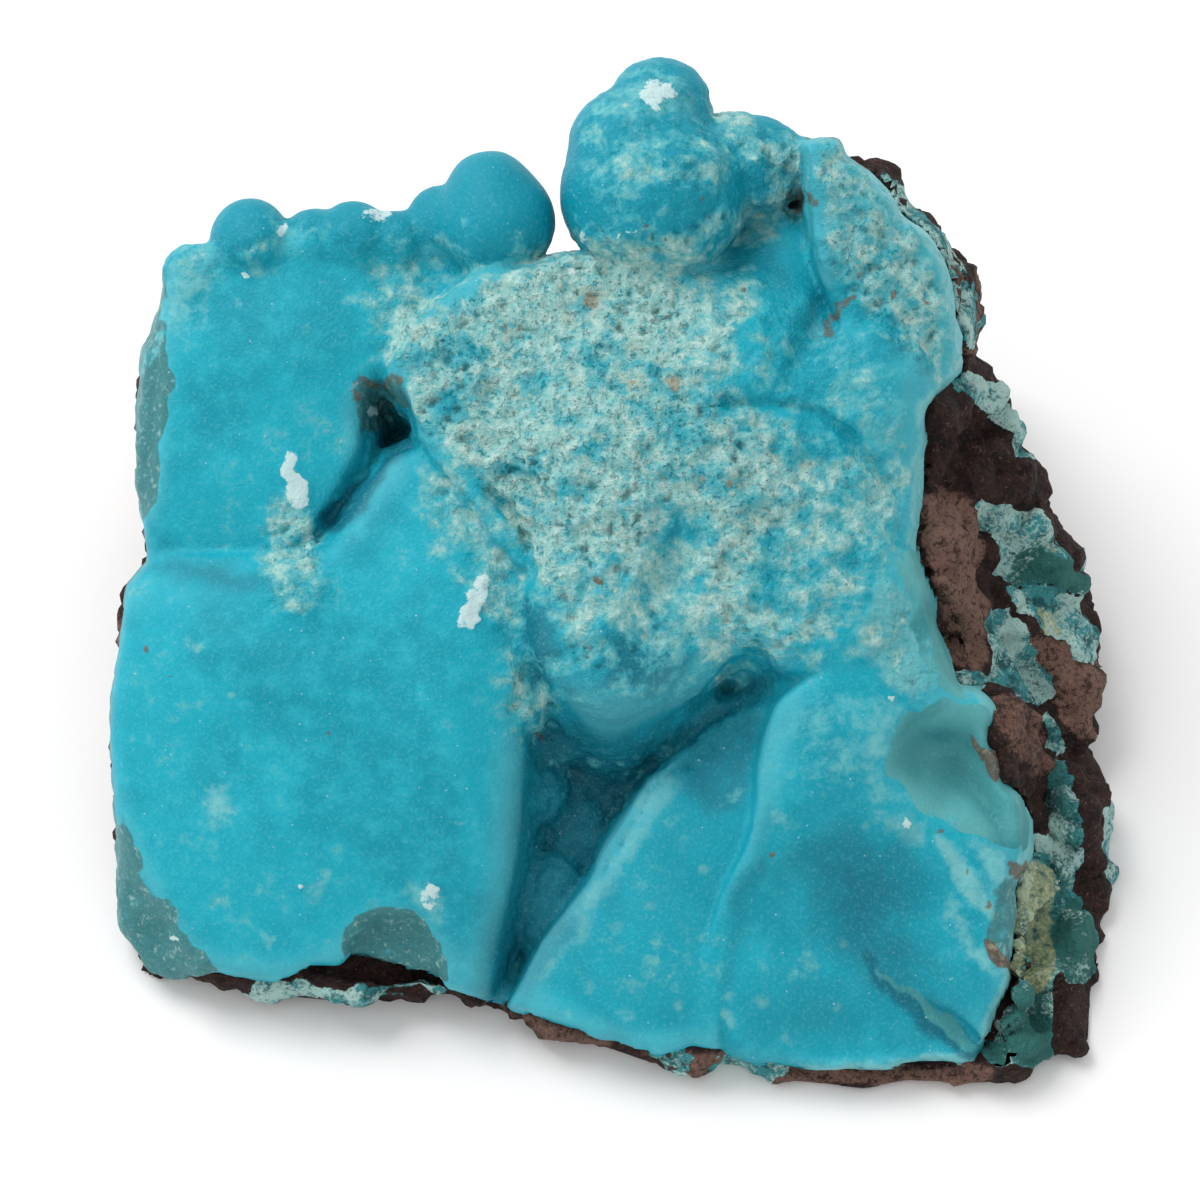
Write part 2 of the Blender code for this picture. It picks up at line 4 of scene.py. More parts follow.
import bpy
import numpy as np
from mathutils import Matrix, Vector


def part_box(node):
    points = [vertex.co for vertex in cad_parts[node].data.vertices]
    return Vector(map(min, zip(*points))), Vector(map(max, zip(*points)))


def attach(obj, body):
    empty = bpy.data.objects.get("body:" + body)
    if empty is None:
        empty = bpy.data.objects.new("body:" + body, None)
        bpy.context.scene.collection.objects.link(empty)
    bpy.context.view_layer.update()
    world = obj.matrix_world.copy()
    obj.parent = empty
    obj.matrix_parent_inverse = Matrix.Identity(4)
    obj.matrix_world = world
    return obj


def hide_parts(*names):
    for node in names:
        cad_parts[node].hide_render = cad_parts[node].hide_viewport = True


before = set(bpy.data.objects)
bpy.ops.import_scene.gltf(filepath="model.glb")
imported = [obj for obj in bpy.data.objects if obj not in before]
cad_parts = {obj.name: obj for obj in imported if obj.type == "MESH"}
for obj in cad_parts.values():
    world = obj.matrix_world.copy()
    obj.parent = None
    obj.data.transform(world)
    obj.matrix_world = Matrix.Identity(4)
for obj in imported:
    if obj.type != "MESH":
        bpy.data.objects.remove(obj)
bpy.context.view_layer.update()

millimetre = 0.001
started = time.time()


def report(words):
    print("[%5.1f s] %s" % (time.time() - started, words))


# The photo's view. A place on the stone is a pixel across and down, and near, the millimetres toward the eye.
view = {
    "pixel": 0.058,          # millimetres a pixel at the middle of the stone
    "eyeDistance": 164.3,    # an 85 mm lens on a 36 mm frame
    "lens": 85.0,
    "tilt": 55.0,            # degrees above the table
    "middlePixel": 600.0,
    "middleHeight": 16.8,    # of the middle of the frame over the table
    "stoneShift": (-0.964, -4.026),   # what sets the stone's box over the origin
}
sinTilt = math.sin(math.radians(view["tilt"]))
cosTilt = math.cos(math.radians(view["tilt"]))


def place(across, down, near):
    shrink = view["pixel"] * (view["eyeDistance"] - near) / view["eyeDistance"]
    right = (across - view["middlePixel"]) * shrink
    up = (view["middlePixel"] - down) * shrink
    x = right + view["stoneShift"][0]
    y = up * sinTilt - near * cosTilt + view["stoneShift"][1]
    z = view["middleHeight"] + up * cosTilt + near * sinTilt
    return np.stack(np.broadcast_arrays(x, y, z), -1)


def tableNear(down):
    up = (view["middlePixel"] - down) * view["pixel"]
    return -(view["middleHeight"] + up * cosTilt) / sinTilt


def outlineDistance(outline, across, down):
    corners = np.asarray(outline, float)
    nearest = np.full(across.shape, 1e9)
    inside = np.zeros(across.shape, bool)
    for start, end in zip(corners, np.roll(corners, -1, axis=0)):
        side = end - start
        along = np.clip(((across - start[0]) * side[0] + (down - start[1]) * side[1]) / (side @ side), 0, 1)
        gap = np.hypot(across - start[0] - along * side[0], down - start[1] - along * side[1])
        nearest = np.minimum(nearest, gap)
        if start[1] != end[1]:
            crosses = (start[1] > down) != (end[1] > down)
            inside ^= crosses & (across < start[0] + (down - start[1]) / side[1] * side[0])
    return np.where(inside, nearest, -nearest)


def rounded(outline):
    # cuts each corner off, so an outline drawn with few points looks grown
    corners = np.asarray(outline, float)
    following = np.roll(corners, -1, axis=0)
    cut = np.stack([0.78 * corners + 0.22 * following, 0.22 * corners + 0.78 * following], 1)
    return cut.reshape(-1, 2)


def softMax(first, second, blend):
    closeness = np.clip(blend - np.abs(first - second), 0, None) / blend
    return np.maximum(first, second) + closeness ** 2 * blend / 4


def easeIn(value):
    value = np.clip(value, 0, 1)
    return value * value * (3 - 2 * value)


def roundOver(distance, edge):
    share = np.clip(distance / edge, 0, 1)
    return 1 - np.sqrt(1 - (1 - share) ** 2)


# Big odd numbers that stir a cell's whole numbers into an even spread of values.
stir = {
    "cell": (374761393, 668265263, 2147483629), "seed": 974634777,
    "rounds": ((13, 1274126177), (16, 2246822519)), "keep": 0xFFFFFFFF, "top": 0xFFFFFF,
}


def scatter(cell, seed):
    # a steady pseudo-random value from 0 to 1 for each whole-numbered cell
    first, second, third = stir["cell"]
    mixed = cell[..., 0] * first + cell[..., 1] * second + cell[..., 2] * third + seed * stir["seed"]
    mixed = mixed.astype(np.int64) & stir["keep"]
    for shift, factor in stir["rounds"]:
        mixed = ((mixed ^ (mixed >> shift)) * factor) & stir["keep"]
    return ((mixed ^ (mixed >> 15)) & stir["top"]) / float(stir["top"])


def mottle(points, size, seed):
    # smooth noise from -1 to 1 with lumps of the given size in millimetres
    scaled = points / size
    cell = np.floor(scaled)
    share = scaled - cell
    share = share * share * (3 - 2 * share)
    total = np.zeros(points.shape[:-1])
    for corner in np.ndindex(2, 2, 2):
        offset = np.array(corner)
        weight = np.prod(np.where(offset == 1, share, 1 - share), axis=-1)
        total += weight * scatter(cell + offset, seed)
    return total * 2 - 1


def pebbles(points, size, seed):
    # distance to the nearest of scattered centres, in cells
    scaled = points / size
    cell = np.floor(scaled)
    nearest = np.full(points.shape[:-1], 9.0)
    for corner in np.ndindex(3, 3, 3):
        neighbour = cell + np.array(corner) - 1
        centre = neighbour + np.stack([scatter(neighbour, seed + turn) for turn in range(3)], -1)
        nearest = np.minimum(nearest, np.linalg.norm(centre - scaled, axis=-1))
    return nearest


# How steep the chips of broken stone lie, and how far each reaches and falls beyond that, in cells.
shardForm = {"tilt": 1.6, "reach": 0.55, "fall": 3.0}


def shards(points, size, seed):
    # a heap of flat broken chips: at each place the chip that stands highest, about 0.8 to 2.2
    scaled = points / size
    cell = np.floor(scaled)
    highest = np.full(points.shape[:-1], -9.0)
    for corner in np.ndindex(3, 3, 3):
        neighbour = cell + np.array(corner) - 1
        dice = [scatter(neighbour, seed + turn) for turn in range(7)]
        toPlace = scaled - neighbour - np.stack(dice[:3], -1)
        tilt = (np.stack(dice[3:6], -1) - 0.5) * shardForm["tilt"]
        past = np.clip(np.linalg.norm(toPlace, axis=-1) - shardForm["reach"], 0, None)
        level = dice[6] + (tilt * toPlace).sum(-1) - shardForm["fall"] * past
        highest = np.maximum(highest, level)
    return highest + 1.0


def readOff(image, across, down, columns, rows):
    # bilinear look-up of a map in the photo's frame
    column = np.clip((across - columns[0]) / (columns[1] - columns[0]), 0, len(columns) - 1.001)
    row = np.clip((down - rows[0]) / (rows[1] - rows[0]), 0, len(rows) - 1.001)
    left = column.astype(int)
    top = row.astype(int)
    u = column - left
    v = row - top
    upper = image[top, left] * (1 - u) + image[top, left + 1] * u
    lower = image[top + 1, left] * (1 - u) + image[top + 1, left + 1] * u
    return upper * (1 - v) + lower * v


# The forms, read off the photo in its pixels.
stoneForm = {
    "outline": [
        (163, 285), (168, 262), (190, 252), (230, 236), (290, 226), (350, 214), (405, 216), (440, 232),
        (470, 262), (520, 266), (556, 254), (572, 254), (610, 250), (650, 190), (690, 118), (720, 100),
        (738, 111), (757, 113), (783, 133), (806, 140), (838, 140), (847, 158), (862, 169), (885, 178),
        (905, 198), (925, 216), (940, 237), (955, 255), (973, 290), (979, 312), (974, 338), (960, 353),
        (982, 366), (985, 385), (1007, 412), (1022, 422), (1037, 460), (1057, 512), (1090, 562), (1099, 590),
        (1093, 606), (1105, 640), (1091, 667), (1098, 692), (1090, 741), (1106, 751), (1118, 776),
        (1121, 835), (1117, 900), (1097, 946), (1093, 1000), (1086, 1055), (1052, 1053), (1022, 1078),
        (980, 1083), (905, 1080), (865, 1089), (790, 1080), (720, 1062), (690, 1057), (655, 1064),
        (585, 1040), (505, 1013), (460, 995), (400, 992), (340, 1001), (295, 997), (255, 984), (222, 976),
        (160, 978), (146, 968), (118, 920), (117, 835), (111, 740), (112, 695), (120, 640), (128, 586),
        (148, 562), (145, 530), (136, 480), (137, 420), (143, 350), (160, 303),
    ],
    "rimRound": 14,            # pixels over which the stone's rim rounds over
    "rimDrop": 0.8,
    "backAtTable": 29.0,       # the back: where it meets the table, its slope, its bend and its chips
    "backSlope": 0.04,
    "backBend": 0.004,
    "backChips": 1.6,
    "rockUnderDome": -6.4,     # near of the bare rock
    "rockCrest": -1.4,         # the same at its crest, and the crest's pixel across
    "rockCrestAcross": 925,
    "rockFall": 0.052,
    "rockFallLeft": 0.06,
    "footNear": 1.2,           # least height of the foot, and how it rises from the outline
    "footRise": 0.11,
    "footReach": 20,
    "flankMiddle": (610, 620),
    "flankRing": 26,
    "flankLayers": [           # near, how far the flank draws in, and how rough it is
        (-5, 0.0, 0.0), (-8, 0.008, 0.012), (-12, 0.012, 0.022), (-17, 0.022, 0.022),
        (-23, 0.020, 0.034), (-30, 0.036, 0.03), (-38, 0.036, 0.04), (-50, 0.05, 0.03)],
}

# Where the crust ends on the rock.
crustEdge = [
    (60, 150), (500, 60), (842, 60), (846, 158), (862, 174), (884, 198), (900, 220), (926, 238), (938, 262),
    (946, 290), (954, 320), (960, 350), (952, 375), (936, 394), (921, 410), (919, 470), (916, 520),
    (917, 552), (930, 590), (942, 640), (956, 690), (978, 688), (988, 712), (986, 744), (1004, 785),
    (1030, 821), (1028, 857), (1014, 880), (1006, 930), (1010, 975), (1000, 1000), (985, 1042), (976, 1058),
    (930, 1060), (890, 1067), (850, 1066), (820, 1070), (780, 1062), (750, 1060), (722, 1050), (690, 1048),
    (655, 1054), (620, 1040), (590, 1034), (548, 1020), (505, 1005), (480, 995), (452, 986), (442, 974),
    (420, 966), (400, 963), (366, 954), (344, 957), (330, 961), (312, 966), (296, 972), (275, 980),
    (240, 977), (210, 970), (190, 984), (160, 1010), (60, 1010),
]

# Shields are the broad sheets. lean is the slope per 100 pixels across and down, dome how far the sheet
# falls by halfSize from its middle, edge and drop the rounding along its outline, steep the fall beyond it,
# and blend how softly it meets what lies under it.
shields = {
    "upper left": dict(
        outline=[
            (110, 300), (150, 240), (215, 232), (290, 222), (400, 212), (470, 250), (540, 300), (480, 350),
            (420, 356), (385, 376), (364, 394), (362, 425), (376, 446), (356, 490), (326, 534), (290, 560),
            (250, 592), (200, 598), (110, 600),
        ],
        middle=(270, 400), near=0.4, lean=(0.2, -0.1), dome=0.9, halfSize=(160, 170),
        edge=20, drop=0.9, steep=0.12, blend=0.8,
    ),
    "lower left": dict(
        outline=[
            (424, 438), (405, 446), (385, 463), (362, 490), (345, 518), (325, 545), (300, 556), (268, 556),
            (200, 552), (90, 552), (70, 700), (80, 900), (90, 1030), (300, 1040), (470, 1050), (492, 1000),
            (504, 940), (514, 880), (522, 820), (526, 760), (528, 700), (536, 640), (552, 590), (550, 540),
            (520, 500), (470, 462),
        ],
        middle=(330, 740), near=2.6, lean=(0.45, -0.1), dome=1.9, halfSize=(230, 270),
        edge=34, drop=1.3, steep=0.13, blend=0.6,
    ),
    "dome": dict(
        outline=[
            (560, 250), (600, 240), (660, 250), (720, 250), (750, 206), (800, 196), (820, 262), (850, 310),
            (890, 345), (936, 392),
            (925, 440), (924, 520), (904, 562), (872, 604), (842, 642), (818, 666), (792, 674), (752, 650),
            (722, 668), (690, 704), (650, 722), (610, 732), (576, 722), (556, 686), (542, 640), (534, 590),
            (534, 540), (530, 490), (512, 466), (508, 430), (514, 400), (530, 368), (562, 336), (590, 300),
        ],
        middle=(650, 480), near=4.6, lean=(0.0, 0.3), dome=2.6, halfSize=(270, 240),
        edge=40, drop=1.7, steep=0.30, blend=0.5,
    ),
    "dome left": dict(
        outline=[
            (386, 376), (396, 336), (440, 300), (490, 262), (540, 250), (620, 262), (620, 420), (600, 600),
            (540, 590), (516, 566), (486, 530), (452, 486), (420, 440), (404, 405),
        ],
        middle=(500, 400), near=2.9, lean=(0.3, 0.0), dome=0.8, halfSize=(140, 180),
        edge=14, drop=0.8, steep=0.30, blend=0.5,
    ),
    "upper right slab": dict(
        outline=[
            (806, 132), (838, 133), (854, 158), (868, 174), (890, 198), (906, 220), (932, 238), (944, 262),
            (950, 290), (958, 320), (968, 350), (960, 376), (938, 398), (905, 385), (862, 352), (838, 320),
            (822, 285), (814, 250), (810, 200),
        ],
        middle=(870, 260), near=2.7, lean=(-1.3, -0.7), dome=0.3, halfSize=(80, 120),
        edge=9, drop=0.45, steep=0.40, blend=0.4,
    ),
    "lower middle": dict(
        outline=[
            (500, 1020), (520, 985), (536, 950), (562, 915), (590, 880), (602, 850), (626, 815), (645, 786),
            (668, 764), (690, 742), (722, 718), (752, 700), (800, 700), (790, 760), (785, 810), (765, 850),
            (740, 894), (728, 952), (722, 1004), (718, 1110), (560, 1100),
        ],
        middle=(640, 930), near=1.4, lean=(0.5, 0.5), dome=0.4, halfSize=(140, 160),
        edge=5, drop=0.35, steep=0.40, blend=0.2,
    ),
    "lower right facet": dict(
        outline=[
            (868, 930), (884, 962), (904, 986), (930, 1002), (958, 1014), (990, 1046), (1030, 1010),
            (1016, 930), (960, 880), (900, 890),
        ],
        middle=(930, 980), near=1.75, lean=(-0.3, 0.2), dome=0.1, halfSize=(100, 100),
        edge=4, drop=0.2, steep=0.5, blend=0.15,
    ),
    "lower right": dict(
        outline=[
            (694, 1110), (698, 1000), (704, 950), (722, 890), (748, 846), (758, 805), (759, 770), (766, 735),
            (778, 704), (802, 682), (840, 664), (866, 636), (882, 598), (896, 552), (912, 552), (924, 605),
            (936, 650), (952, 690), (996, 700), (1018, 760), (1024, 850), (1020, 905), (1010, 960),
            (1018, 990), (1008, 1015), (990, 1060), (990, 1110),
        ],
        middle=(850, 830), near=2.5, lean=(-0.35, -0.3), dome=0.7, halfSize=(180, 260),
        edge=5, drop=0.35, steep=0.30, blend=0.2,
    ),
}

# Lobes: middle, half size in pixels, near at the crest, fall to the rim, blend.
lobes = {
    "dome low left": ((612, 618), (84, 104), 4.7, 2.2, 1.1),
    "dome low right": ((806, 590), (104, 84), 4.1, 1.8, 1.2),
    "dome right": ((868, 390), (62, 70), 3.4, 1.6, 1.1),
    "under the dome": ((600, 760), (120, 90), -3.4, 1.0, 1.2),
    "under the dome right": ((724, 694), (110, 60), -0.7, 1.2, 1.4),
    "groove low": ((550, 908), (42, 56), -1.0, 1.6, 0.3),
    "groove side": ((556, 800), (34, 44), -2.2, 1.6, 0.7),
    "groove high": ((574, 836), (36, 50), -2.4, 1.6, 0.6),
    "rim ring": ((527, 699), (28, 34), 1.9, 1.8, 0.3),
    "rim small": ((508, 664), (20, 18), 2.0, 1.2, 0.3),
    "rim high": ((520, 630), (24, 30), 1.9, 1.4, 0.4),
    "rim low": ((558, 742), (32, 28), -0.8, 1.8, 0.5),
    "rim lower": ((540, 790), (30, 34), -0.6, 1.6, 0.7),
    "pale": ((975, 880), (48, 62), 1.9, 1.8, 0.4),
    "pale low": ((962, 968), (50, 50), 1.2, 1.6, 0.4),
    "pale high": ((930, 860), (40, 40), 2.2, 1.4, 0.4),
    "corner": ((1012, 1022), (44, 48), -1.2, 2.0, 0.4),
    "right side": ((1066, 840), (36, 66), -4.6, 2.2, 0.4),
}

# Swells and dips: middle, half size in pixels, rise, turn in degrees.
swells = {
    "crest of the lower left": ((455, 700), (60, 170), 1.0, 0),
    "left": ((190, 680), (70, 70), 0.6, 0),
    "low": ((290, 830), (90, 70), 0.5, 0),
    "soft ridge": ((250, 660), (26, 90), 0.45, -60),
    "upper left": ((300, 350), (80, 60), 0.5, 0),
    "above the valley": ((230, 480), (70, 44), 0.4, 0),
    "pale patch": ((290, 556), (34, 50), 0.6, 0),
    "dome middle": ((640, 440), (90, 70), 0.8, 0),
    "dome upper right": ((735, 360), (60, 50), 0.6, 0),
    "dome upper left": ((560, 350), (60, 46), 0.5, 0),
    "dome lower middle": ((730, 500), (46, 70), 0.5, 20),
    "left valley": ((205, 572), (100, 18), -0.55, -4),
    "right face of the lower left": ((560, 760), (26, 70), -0.9, 0),
    "dent in the dome": ((668, 572), (24, 60), -1.3, 22),
    "hollow above the dome": ((740, 238), (50, 40), -2.0, 0),
    "step under the slab": ((815, 330), (16, 60), -0.8, 30),
    "lower right crest": ((835, 745), (70, 90), 1.2, 0),
    "lower right foot": ((800, 985), (70, 60), 0.7, 0),
    "lower right dip": ((826, 915), (104, 92), -1.2, 0),
    "lower middle top": ((712, 752), (44, 50), -0.7, 20),
    "lower middle crest": ((640, 950), (60, 60), 0.5, 0),
}

# Pits and steps: outline, depth in millimetres, edge in pixels.
pits = {
    "crack": ([
        (424, 436), (400, 446), (383, 464), (362, 492), (346, 520), (322, 546), (304, 540), (318, 512),
        (338, 478), (352, 452), (356, 420), (372, 398), (392, 380), (404, 392), (414, 410),
    ], 1.0, 16),
    "hole": ([
        (392, 372), (410, 392), (424, 434), (404, 444), (384, 456), (376, 440), (398, 418), (400, 396),
    ], 1.9, 10),
    "dark hole": ([
        (712, 672), (735, 652), (756, 640), (790, 668), (784, 690), (740, 700), (706, 712),
    ], 1.4, 16),
    "scar": ([
        (900, 704), (940, 702), (980, 704), (1000, 730), (1014, 790), (1020, 852), (1000, 850), (985, 838),
        (960, 825), (935, 825), (918, 810), (900, 795), (886, 780), (880, 756), (882, 736), (890, 720),
    ], 2.6, 50),
    "teal gap": ([
        (470, 478), (492, 484), (520, 505), (536, 545), (530, 566), (512, 530), (488, 506),
    ], 1.0, 10),
    "curved step": ([
        (700, 402), (740, 396), (782, 396), (822, 404), (852, 424), (880, 458), (908, 496), (900, 508),
        (868, 476), (842, 442), (814, 420), (780, 411), (740, 411), (702, 416),
    ], 0.55, 8),
    "pale ledge": ([
        (702, 770), (676, 774), (660, 788), (648, 812), (630, 842), (604, 880), (598, 876), (622, 836),
        (640, 806), (652, 782), (672, 764), (700, 760),
    ], 0.35, 6),
    "cleft": ([
        (776, 192), (812, 186), (816, 206), (790, 214), (768, 208),
    ], 2.0, 10),
    "left rim": ([
        (166, 256), (169, 300), (165, 350), (168, 400), (162, 450), (158, 485), (150, 530), (110, 530),
        (100, 256),
    ], 0.9, 13),
    "left corner": ([
        (112, 790), (122, 815), (132, 842), (146, 868), (162, 894), (174, 910), (184, 930), (194, 950),
        (208, 972), (214, 1000), (90, 1010), (90, 790),
    ], 1.5, 26),
    "bottom notch": ([
        (340, 962), (348, 936), (360, 914), (383, 904), (415, 911), (430, 924), (440, 944), (452, 985),
        (400, 990), (344, 980),
    ], 1.5, 14),
}

# Balls: middle, half size in pixels, near of the centre, radius toward the viewer.
knobs = {
    "far left": ((192, 275), (30, 32), -1.6, 1.7),
    "left": ((250, 240), (40, 42), -1.4, 2.4),
    "left middle": ((313, 242), (32, 33), -1.4, 1.9),
    "middle": ((354, 236), (36, 35), -1.0, 2.0),
    "right middle": ((396, 240), (30, 30), -1.2, 1.8),
    "beside the ball": ((440, 222), (34, 36), -1.6, 2.0),
    "ball": ((495, 220), (60, 58), -0.6, 3.5),
    "ball top": ((490, 192), (42, 41), -0.6, 3.0),
    "big ball": ((654, 192), (95, 88), -0.4, 5.2),
    "big ball shoulder": ((640, 146), (72, 62), -0.6, 4.2),
    "big ball top": ((660, 106), (52, 48), -1.0, 3.0),
    "big ball right": ((742, 166), (66, 54), -1.8, 3.4),
}

# Broken rock is a heap of flat chips, each with a level and a tilt, which end at reach.
chipForm = {"count": 80, "level": 1.7, "tilt": 0.42, "reach": 2.0, "fall": 1.2}

# The step down from the crust's edge to the rock: millimetres, where it starts and how wide it is in pixels.
edgeForm = {"step": 1.2, "start": 4, "width": 10, "chipsAfter": 24, "ragged": ((4, 26.0, 91), (2, 11.0, 92))}

# The hidden seam of crust and rock. It lies under the face, deeper at the top and where the crust is thick.
seamForm = {
    "thin": 1.0, "thick": 4.2, "thicker": 3.2, "topDown": 330, "topWidth": 60, "reach": 24, "reachRise": 1.5,
    "edgeWidth": 46, "bareRise": 0.4, "bareFall": 0.10, "start": 14, "width": 18, "aboveTable": 1.5,
}


def shieldNear(shield, across, down):
    dx = across - shield["middle"][0]
    dy = down - shield["middle"][1]
    near = shield["near"] + (shield["lean"][0] * dx + shield["lean"][1] * dy) / 100
    near = near - shield["dome"] * ((dx / shield["halfSize"][0]) ** 2 + (dy / shield["halfSize"][1]) ** 2)
    distance = outlineDistance(rounded(shield["outline"]), across, down)
    near = near - shield["drop"] * roundOver(distance, shield["edge"])
    return near + shield["steep"] * np.minimum(distance, 0)


def lobeNear(middle, halfSize, crest, fall, across, down):
    reach = np.hypot((across - middle[0]) / halfSize[0], (down - middle[1]) / halfSize[1])
    cap = 1 - np.sqrt(np.clip(1 - reach ** 2, 0, None))
    return crest - fall * cap - np.clip(reach - 1, 0, None) * 5 * fall


def swellRise(middle, halfSize, rise, turn, across, down):
    angle = math.radians(turn)
    dx = across - middle[0]
    dy = down - middle[1]
    along = dx * math.cos(angle) + dy * math.sin(angle)
    beside = dy * math.cos(angle) - dx * math.sin(angle)
    return rise * np.exp(-((along / halfSize[0]) ** 2 + (beside / halfSize[1]) ** 2))


def chips(seed, across, down, spread):
    dice = np.random.RandomState(seed)
    level = np.full(across.shape, -1e9)
    for number in range(chipForm["count"]):
        middle = dice.uniform(spread[0], spread[1]), dice.uniform(spread[2], spread[3])
        tilt = dice.uniform(-chipForm["tilt"], chipForm["tilt"], 2)
        top = dice.uniform(-chipForm["level"], 0)
        dx = (across - middle[0]) * view["pixel"]
        dy = (down - middle[1]) * view["pixel"]
        past = np.clip(np.hypot(dx, dy) - chipForm["reach"], 0, None)
        level = np.maximum(level, top + tilt[0] * dx + tilt[1] * dy - chipForm["fall"] * past)
    return np.clip(level + chipForm["level"], 0, chipForm["level"])


def rockNear(across, down):
    form = stoneForm
    crest = form["rockCrestAcross"]
    ground = form["rockCrest"] - form["rockFall"] * np.abs(across - crest)
    ground = ground - form["rockFallLeft"] * np.clip(crest - across, 0, None)
    ground = np.where(across > crest, ground, np.maximum(form["rockUnderDome"], ground))
    inside = np.clip(outlineDistance(form["outline"], across, down), 0, form["footReach"])
    return softMax(ground, tableNear(down) + form["footNear"] + form["footRise"] * inside, 1.0)


def crustInside(across, down):
    # pixels from the crust's broken edge, which is ragged
    spots = np.stack([across, down, 0 * down], -1)
    inside = outlineDistance(crustEdge, across, down)
    for push, size, seed in edgeForm["ragged"]:
        inside = inside + push * mottle(spots, size, seed)
    return inside


def frontNear(across, down):
    # near of the whole face: everything named above, one thing after another
    near = rockNear(across, down)
    for shield in shields.values():
        near = softMax(near, shieldNear(shield, across, down), shield["blend"])
    for middle, halfSize, crest, fall, blend in lobes.values():
        near = softMax(near, lobeNear(middle, halfSize, crest, fall, across, down), blend)
    for swell in swells.values():
        near = near + swellRise(*swell, across, down)
    for outline, depth, edge in pits.values():
        near = near - depth * easeIn(outlineDistance(rounded(outline), across, down) / edge)
    outsideCrust = -crustInside(across, down)
    broken = chips(7, across, down, (850, 1130, 180, 1100)) * easeIn(outsideCrust / edgeForm["chipsAfter"])
    near = near - (edgeForm["step"] - broken) * easeIn((outsideCrust + edgeForm["start"]) / edgeForm["width"])
    rim = outlineDistance(stoneForm["outline"], across, down)
    near = near - stoneForm["rimDrop"] * roundOver(rim, stoneForm["rimRound"])
    return softMax(near, tableNear(down) + 1.0, 0.6)


def seamNear(across, down):
    form = seamForm
    inside = crustInside(across, down)
    thickness = form["thick"] + form["thicker"] * easeIn((form["topDown"] - down) / form["topWidth"])
    face = frontNear(across, down)
    under = face
    reach = form["reach"]
    for dx, dy in ((reach, 0), (-reach, 0), (0, reach), (0, -reach)):
        under = np.minimum(under, frontNear(across + dx, down + dy) + form["reachRise"])
    covered = under - form["thin"] - (thickness - form["thin"]) * easeIn(inside / form["edgeWidth"])
    bare = face + form["bareRise"] - form["bareFall"] * inside
    share = easeIn((inside + form["start"]) / form["width"])
    return np.maximum(share * covered + (1 - share) * bare, tableNear(down) + form["aboveTable"])


def surfaceNet(field):
    # one vertex in each cell that the surface passes through, and one quad for each grid edge that it crosses
    inside = field < 0
    counts = np.zeros([size - 1 for size in field.shape], np.int8)
    corners = list(np.ndindex(2, 2, 2))
    spans = [slice(None, -1), slice(1, None)]
    for corner in corners:
        counts += inside[spans[corner[0]], spans[corner[1]], spans[corner[2]]]
    cells = np.argwhere((counts > 0) & (counts < 8))
    values = {corner: field[tuple((cells + corner).T)] for corner in corners}
    total = np.zeros((len(cells), 3))
    crossings = np.zeros(len(cells))
    for axis in range(3):
        for corner in corners:
            if corner[axis]:
                continue
            far = tuple(corner[turn] + (turn == axis) for turn in range(3))
            crosses = (values[corner] < 0) != (values[far] < 0)
            step = values[corner] - values[far]
            share = np.where(crosses, values[corner] / np.where(step == 0, 1, step), 0)
            spot = np.repeat(np.array([corner], float), len(cells), 0)
            spot[:, axis] += share
            total += spot * crosses[:, None]
            crossings += crosses
    vertices = cells + total / crossings[:, None]
    number = np.full(counts.shape, -1, np.int32)
    number[tuple(cells.T)] = np.arange(len(cells))
    quads = []
    for axis in range(3):
        low = [slice(1, -1)] * 3
        high = [slice(1, -1)] * 3
        low[axis] = slice(0, -1)
        high[axis] = slice(1, None)
        first = inside[tuple(low)]
        second = inside[tuple(high)]
        for flips in (False, True):
            found = np.argwhere(first & ~second if not flips else ~first & second)
            origin = found + np.array([turn != axis for turn in range(3)], int)
            sideA = np.zeros(3, int)
            sideB = np.zeros(3, int)
            sideA[(axis + 1) % 3] = 1
            sideB[(axis + 2) % 3] = 1
            ring = [origin - sideA - sideB, origin - sideB, origin, origin - sideA]
            quad = np.stack([number[tuple(cell.T)] for cell in ring], 1)
            quads.append(quad[:, ::-1] if flips else quad)
    return vertices, np.concatenate(quads)


def fieldGrid(look):
    # the photo's pixels that the stone takes up, and the depths
    across = np.arange(92, 1140, look["cell"])
    down = np.arange(36, 1104, look["cell"])
    near = np.arange(*look["nearSpan"], look["depthStep"])
    return across, down, near


def steepness(near, step):
    rowFall, columnFall = np.gradient(near, step * view["pixel"])
    return np.sqrt(1 + rowFall ** 2 + columnFall ** 2)


